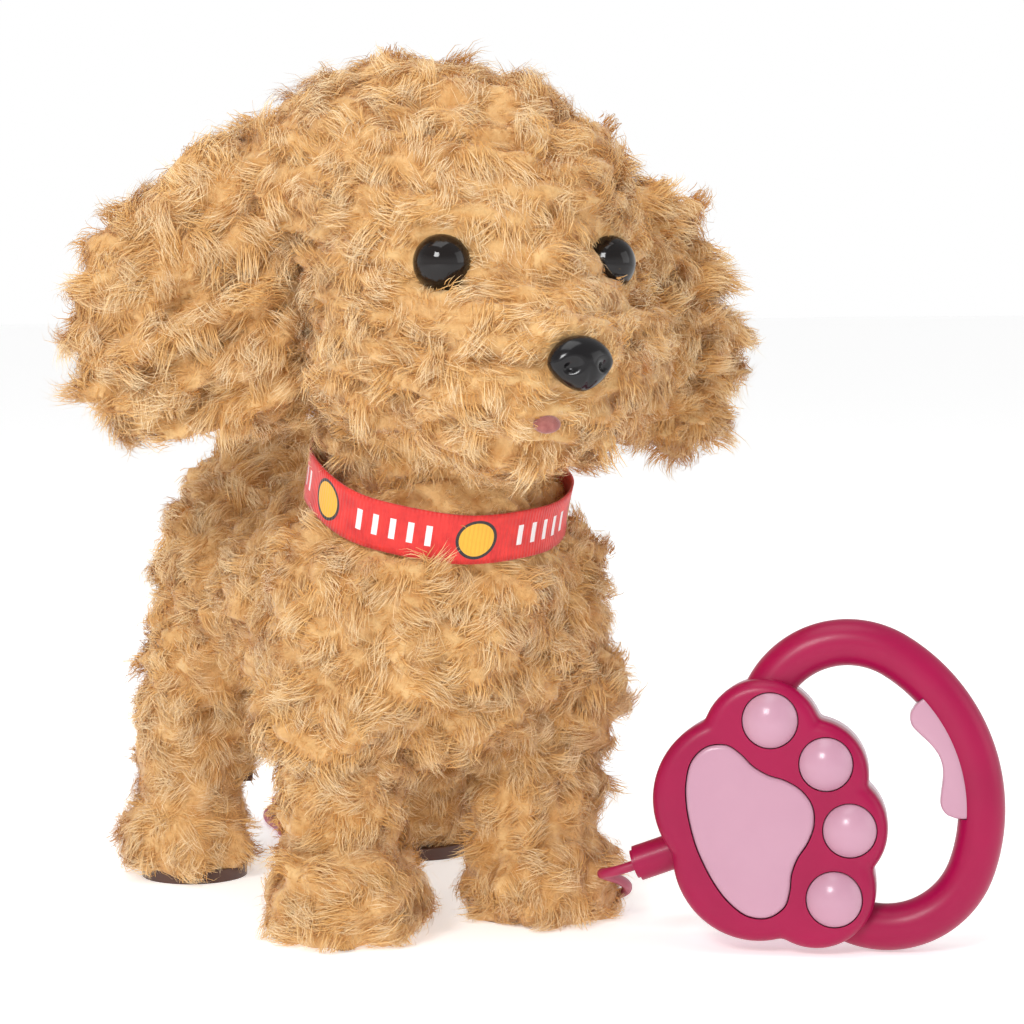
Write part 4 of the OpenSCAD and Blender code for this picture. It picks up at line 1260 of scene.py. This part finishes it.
def extruded(name, flat, low, high, material=None):
    """A flat outline raised into a solid."""
    bm = bmesh.new()
    bottom = [bm.verts.new((x, y, low)) for x, y in flat]
    top = [bm.verts.new((x, y, high)) for x, y in flat]
    bm.faces.new(bottom[::-1])
    bm.faces.new(top)
    count = len(flat)
    for i in range(count):
        k = (i + 1) % count
        bm.faces.new((bottom[i], bottom[k], top[k], top[i]))
    bmesh.ops.recalc_face_normals(bm, faces=bm.faces)
    return from_bmesh(name, bm, material)


def make_trigger(mats):
    """Finger bar with a hollowed inner edge and rounded ends."""
    flat = sector_outline(39.6, 50.2, TRIGGER_SPAN, groove=2.6, ends=4.5)
    obj = extruded("trigger_bar", flat, -TRIGGER_HALF, TRIGGER_HALF, mats["pearl"])
    bevel = obj.modifiers.new("edge", "BEVEL")
    bevel.width = 0.9
    bevel.segments = 4
    bevel.limit_method = "ANGLE"
    bevel.angle_limit = math.radians(50)
    apply_modifiers(obj)
    shade_by_angle(obj, 30)
    in_remote(obj)
    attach(obj, "trigger")
    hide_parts("trigger")


# ---------------------------------------------------------------- build

def make_materials():
    pearl = moulded_material("pearl_pink", (0.54, 0.29, 0.38), (0.50, 0.26, 0.35), 0.3, 0.3)
    eye = moulded_material("eye_gloss", (0.004, 0.003, 0.003), (0.008, 0.004, 0.003), 0.07, 0.0)
    nose = moulded_material("nose_gloss", (0.004, 0.003, 0.004), (0.006, 0.005, 0.005), 0.16, 0.0,
                            700.0)
    magenta = moulded_material("magenta", (0.36, 0.001, 0.058), (0.31, 0.001, 0.05), 0.36, 0.06)
    Graph(magenta).set("Specular IOR Level", 0.3)
    for black in (eye, nose):
        Graph(black).set("Specular IOR Level", 0.4)
    return {
        "pile": strand_material(),
        "backing": backing_material(),
        "ribbon": ribbon_material(),
        "magenta": magenta,
        "pink": moulded_material("pale_pink", (0.52, 0.22, 0.32), (0.47, 0.19, 0.28), 0.35, 0.3),
        "pearl": pearl,
        "eye": eye,
        "nose": nose,
        "cord": moulded_material("cord_jacket", (0.38, 0.006, 0.065), (0.32, 0.005, 0.055), 0.42, 0.05),
        "brown": moulded_material("brown_sole", (0.085, 0.03, 0.016), (0.06, 0.02, 0.011), 0.4, 0.2),
        "white": moulded_material("white_case", (0.80, 0.79, 0.75), (0.74, 0.73, 0.69), 0.45, 0.1),
        "steel": metal_material("steel", (0.62, 0.62, 0.64), 0.3),
        "green": moulded_material("board_green", (0.03, 0.22, 0.09), (0.02, 0.16, 0.06), 0.4, 0.3),
        "black": moulded_material("black_plastic", (0.03, 0.03, 0.034), (0.02, 0.02, 0.02), 0.4, 0.2),
        "rubber": moulded_material("grey_rubber", (0.5, 0.5, 0.5), (0.45, 0.45, 0.45), 0.6, 0.0),
        "felt": felt_material(),
    }


def felt_material():
    mat = simple_material("rose_felt", (0.42, 0.14, 0.12), 0.9)
    g = Graph(mat)
    g.link(g.ramp(g.noise(700.0, 5.0), [(0.3, (0.27, 0.075, 0.065)), (0.7, (0.38, 0.13, 0.11))]),
           g.shader.inputs["Base Color"])
    g.set("Sheen Weight", 0.4)
    g.bump(g.noise(1800.0, 4.0), 0.0002, 0.8)
    return mat


NODE_FINISH = {
    "white": ["case_left", "case_right", "neck_post", "tail_lever", "skull_front", "skull_back",
              "link_rod_left", "link_rod_right", "eye_washers", "motor_pinion", "idler_gear",
              "crank_gear", "cord_tie"],
    "steel": ["case_screws", "front_hip_axle", "rear_hip_axle", "idler_axle", "neck_axle",
              "battery_contacts", "remote_screws", "motor"],
    "green": ["main_board", "remote_board"],
    "black": ["speaker", "body_gland", "battery_cells"],
    "rubber": ["switch_mat"],
    "magenta": ["remote_gland"],
    "pink": ["battery_door"],
    "felt": ["tongue"],
    "brown": ["leg_frame_front_left", "leg_frame_front_right", "leg_frame_rear_left",
              "leg_frame_rear_right"],
}

mats = make_materials()
make_camera()
make_studio()
make_cord(mats["cord"])
for finish, nodes in NODE_FINISH.items():
    for name in nodes:
        paint(name, mats[finish])
make_torso(mats)
make_legs(mats)
make_head(mats)
make_ears(mats)
make_tail(mats)
make_eyes(mats)
make_nose(mats)
make_mouth(mats)
make_collar(mats)
make_paw(mats)
make_buttons(mats)
make_ring(mats)
make_trigger(mats)
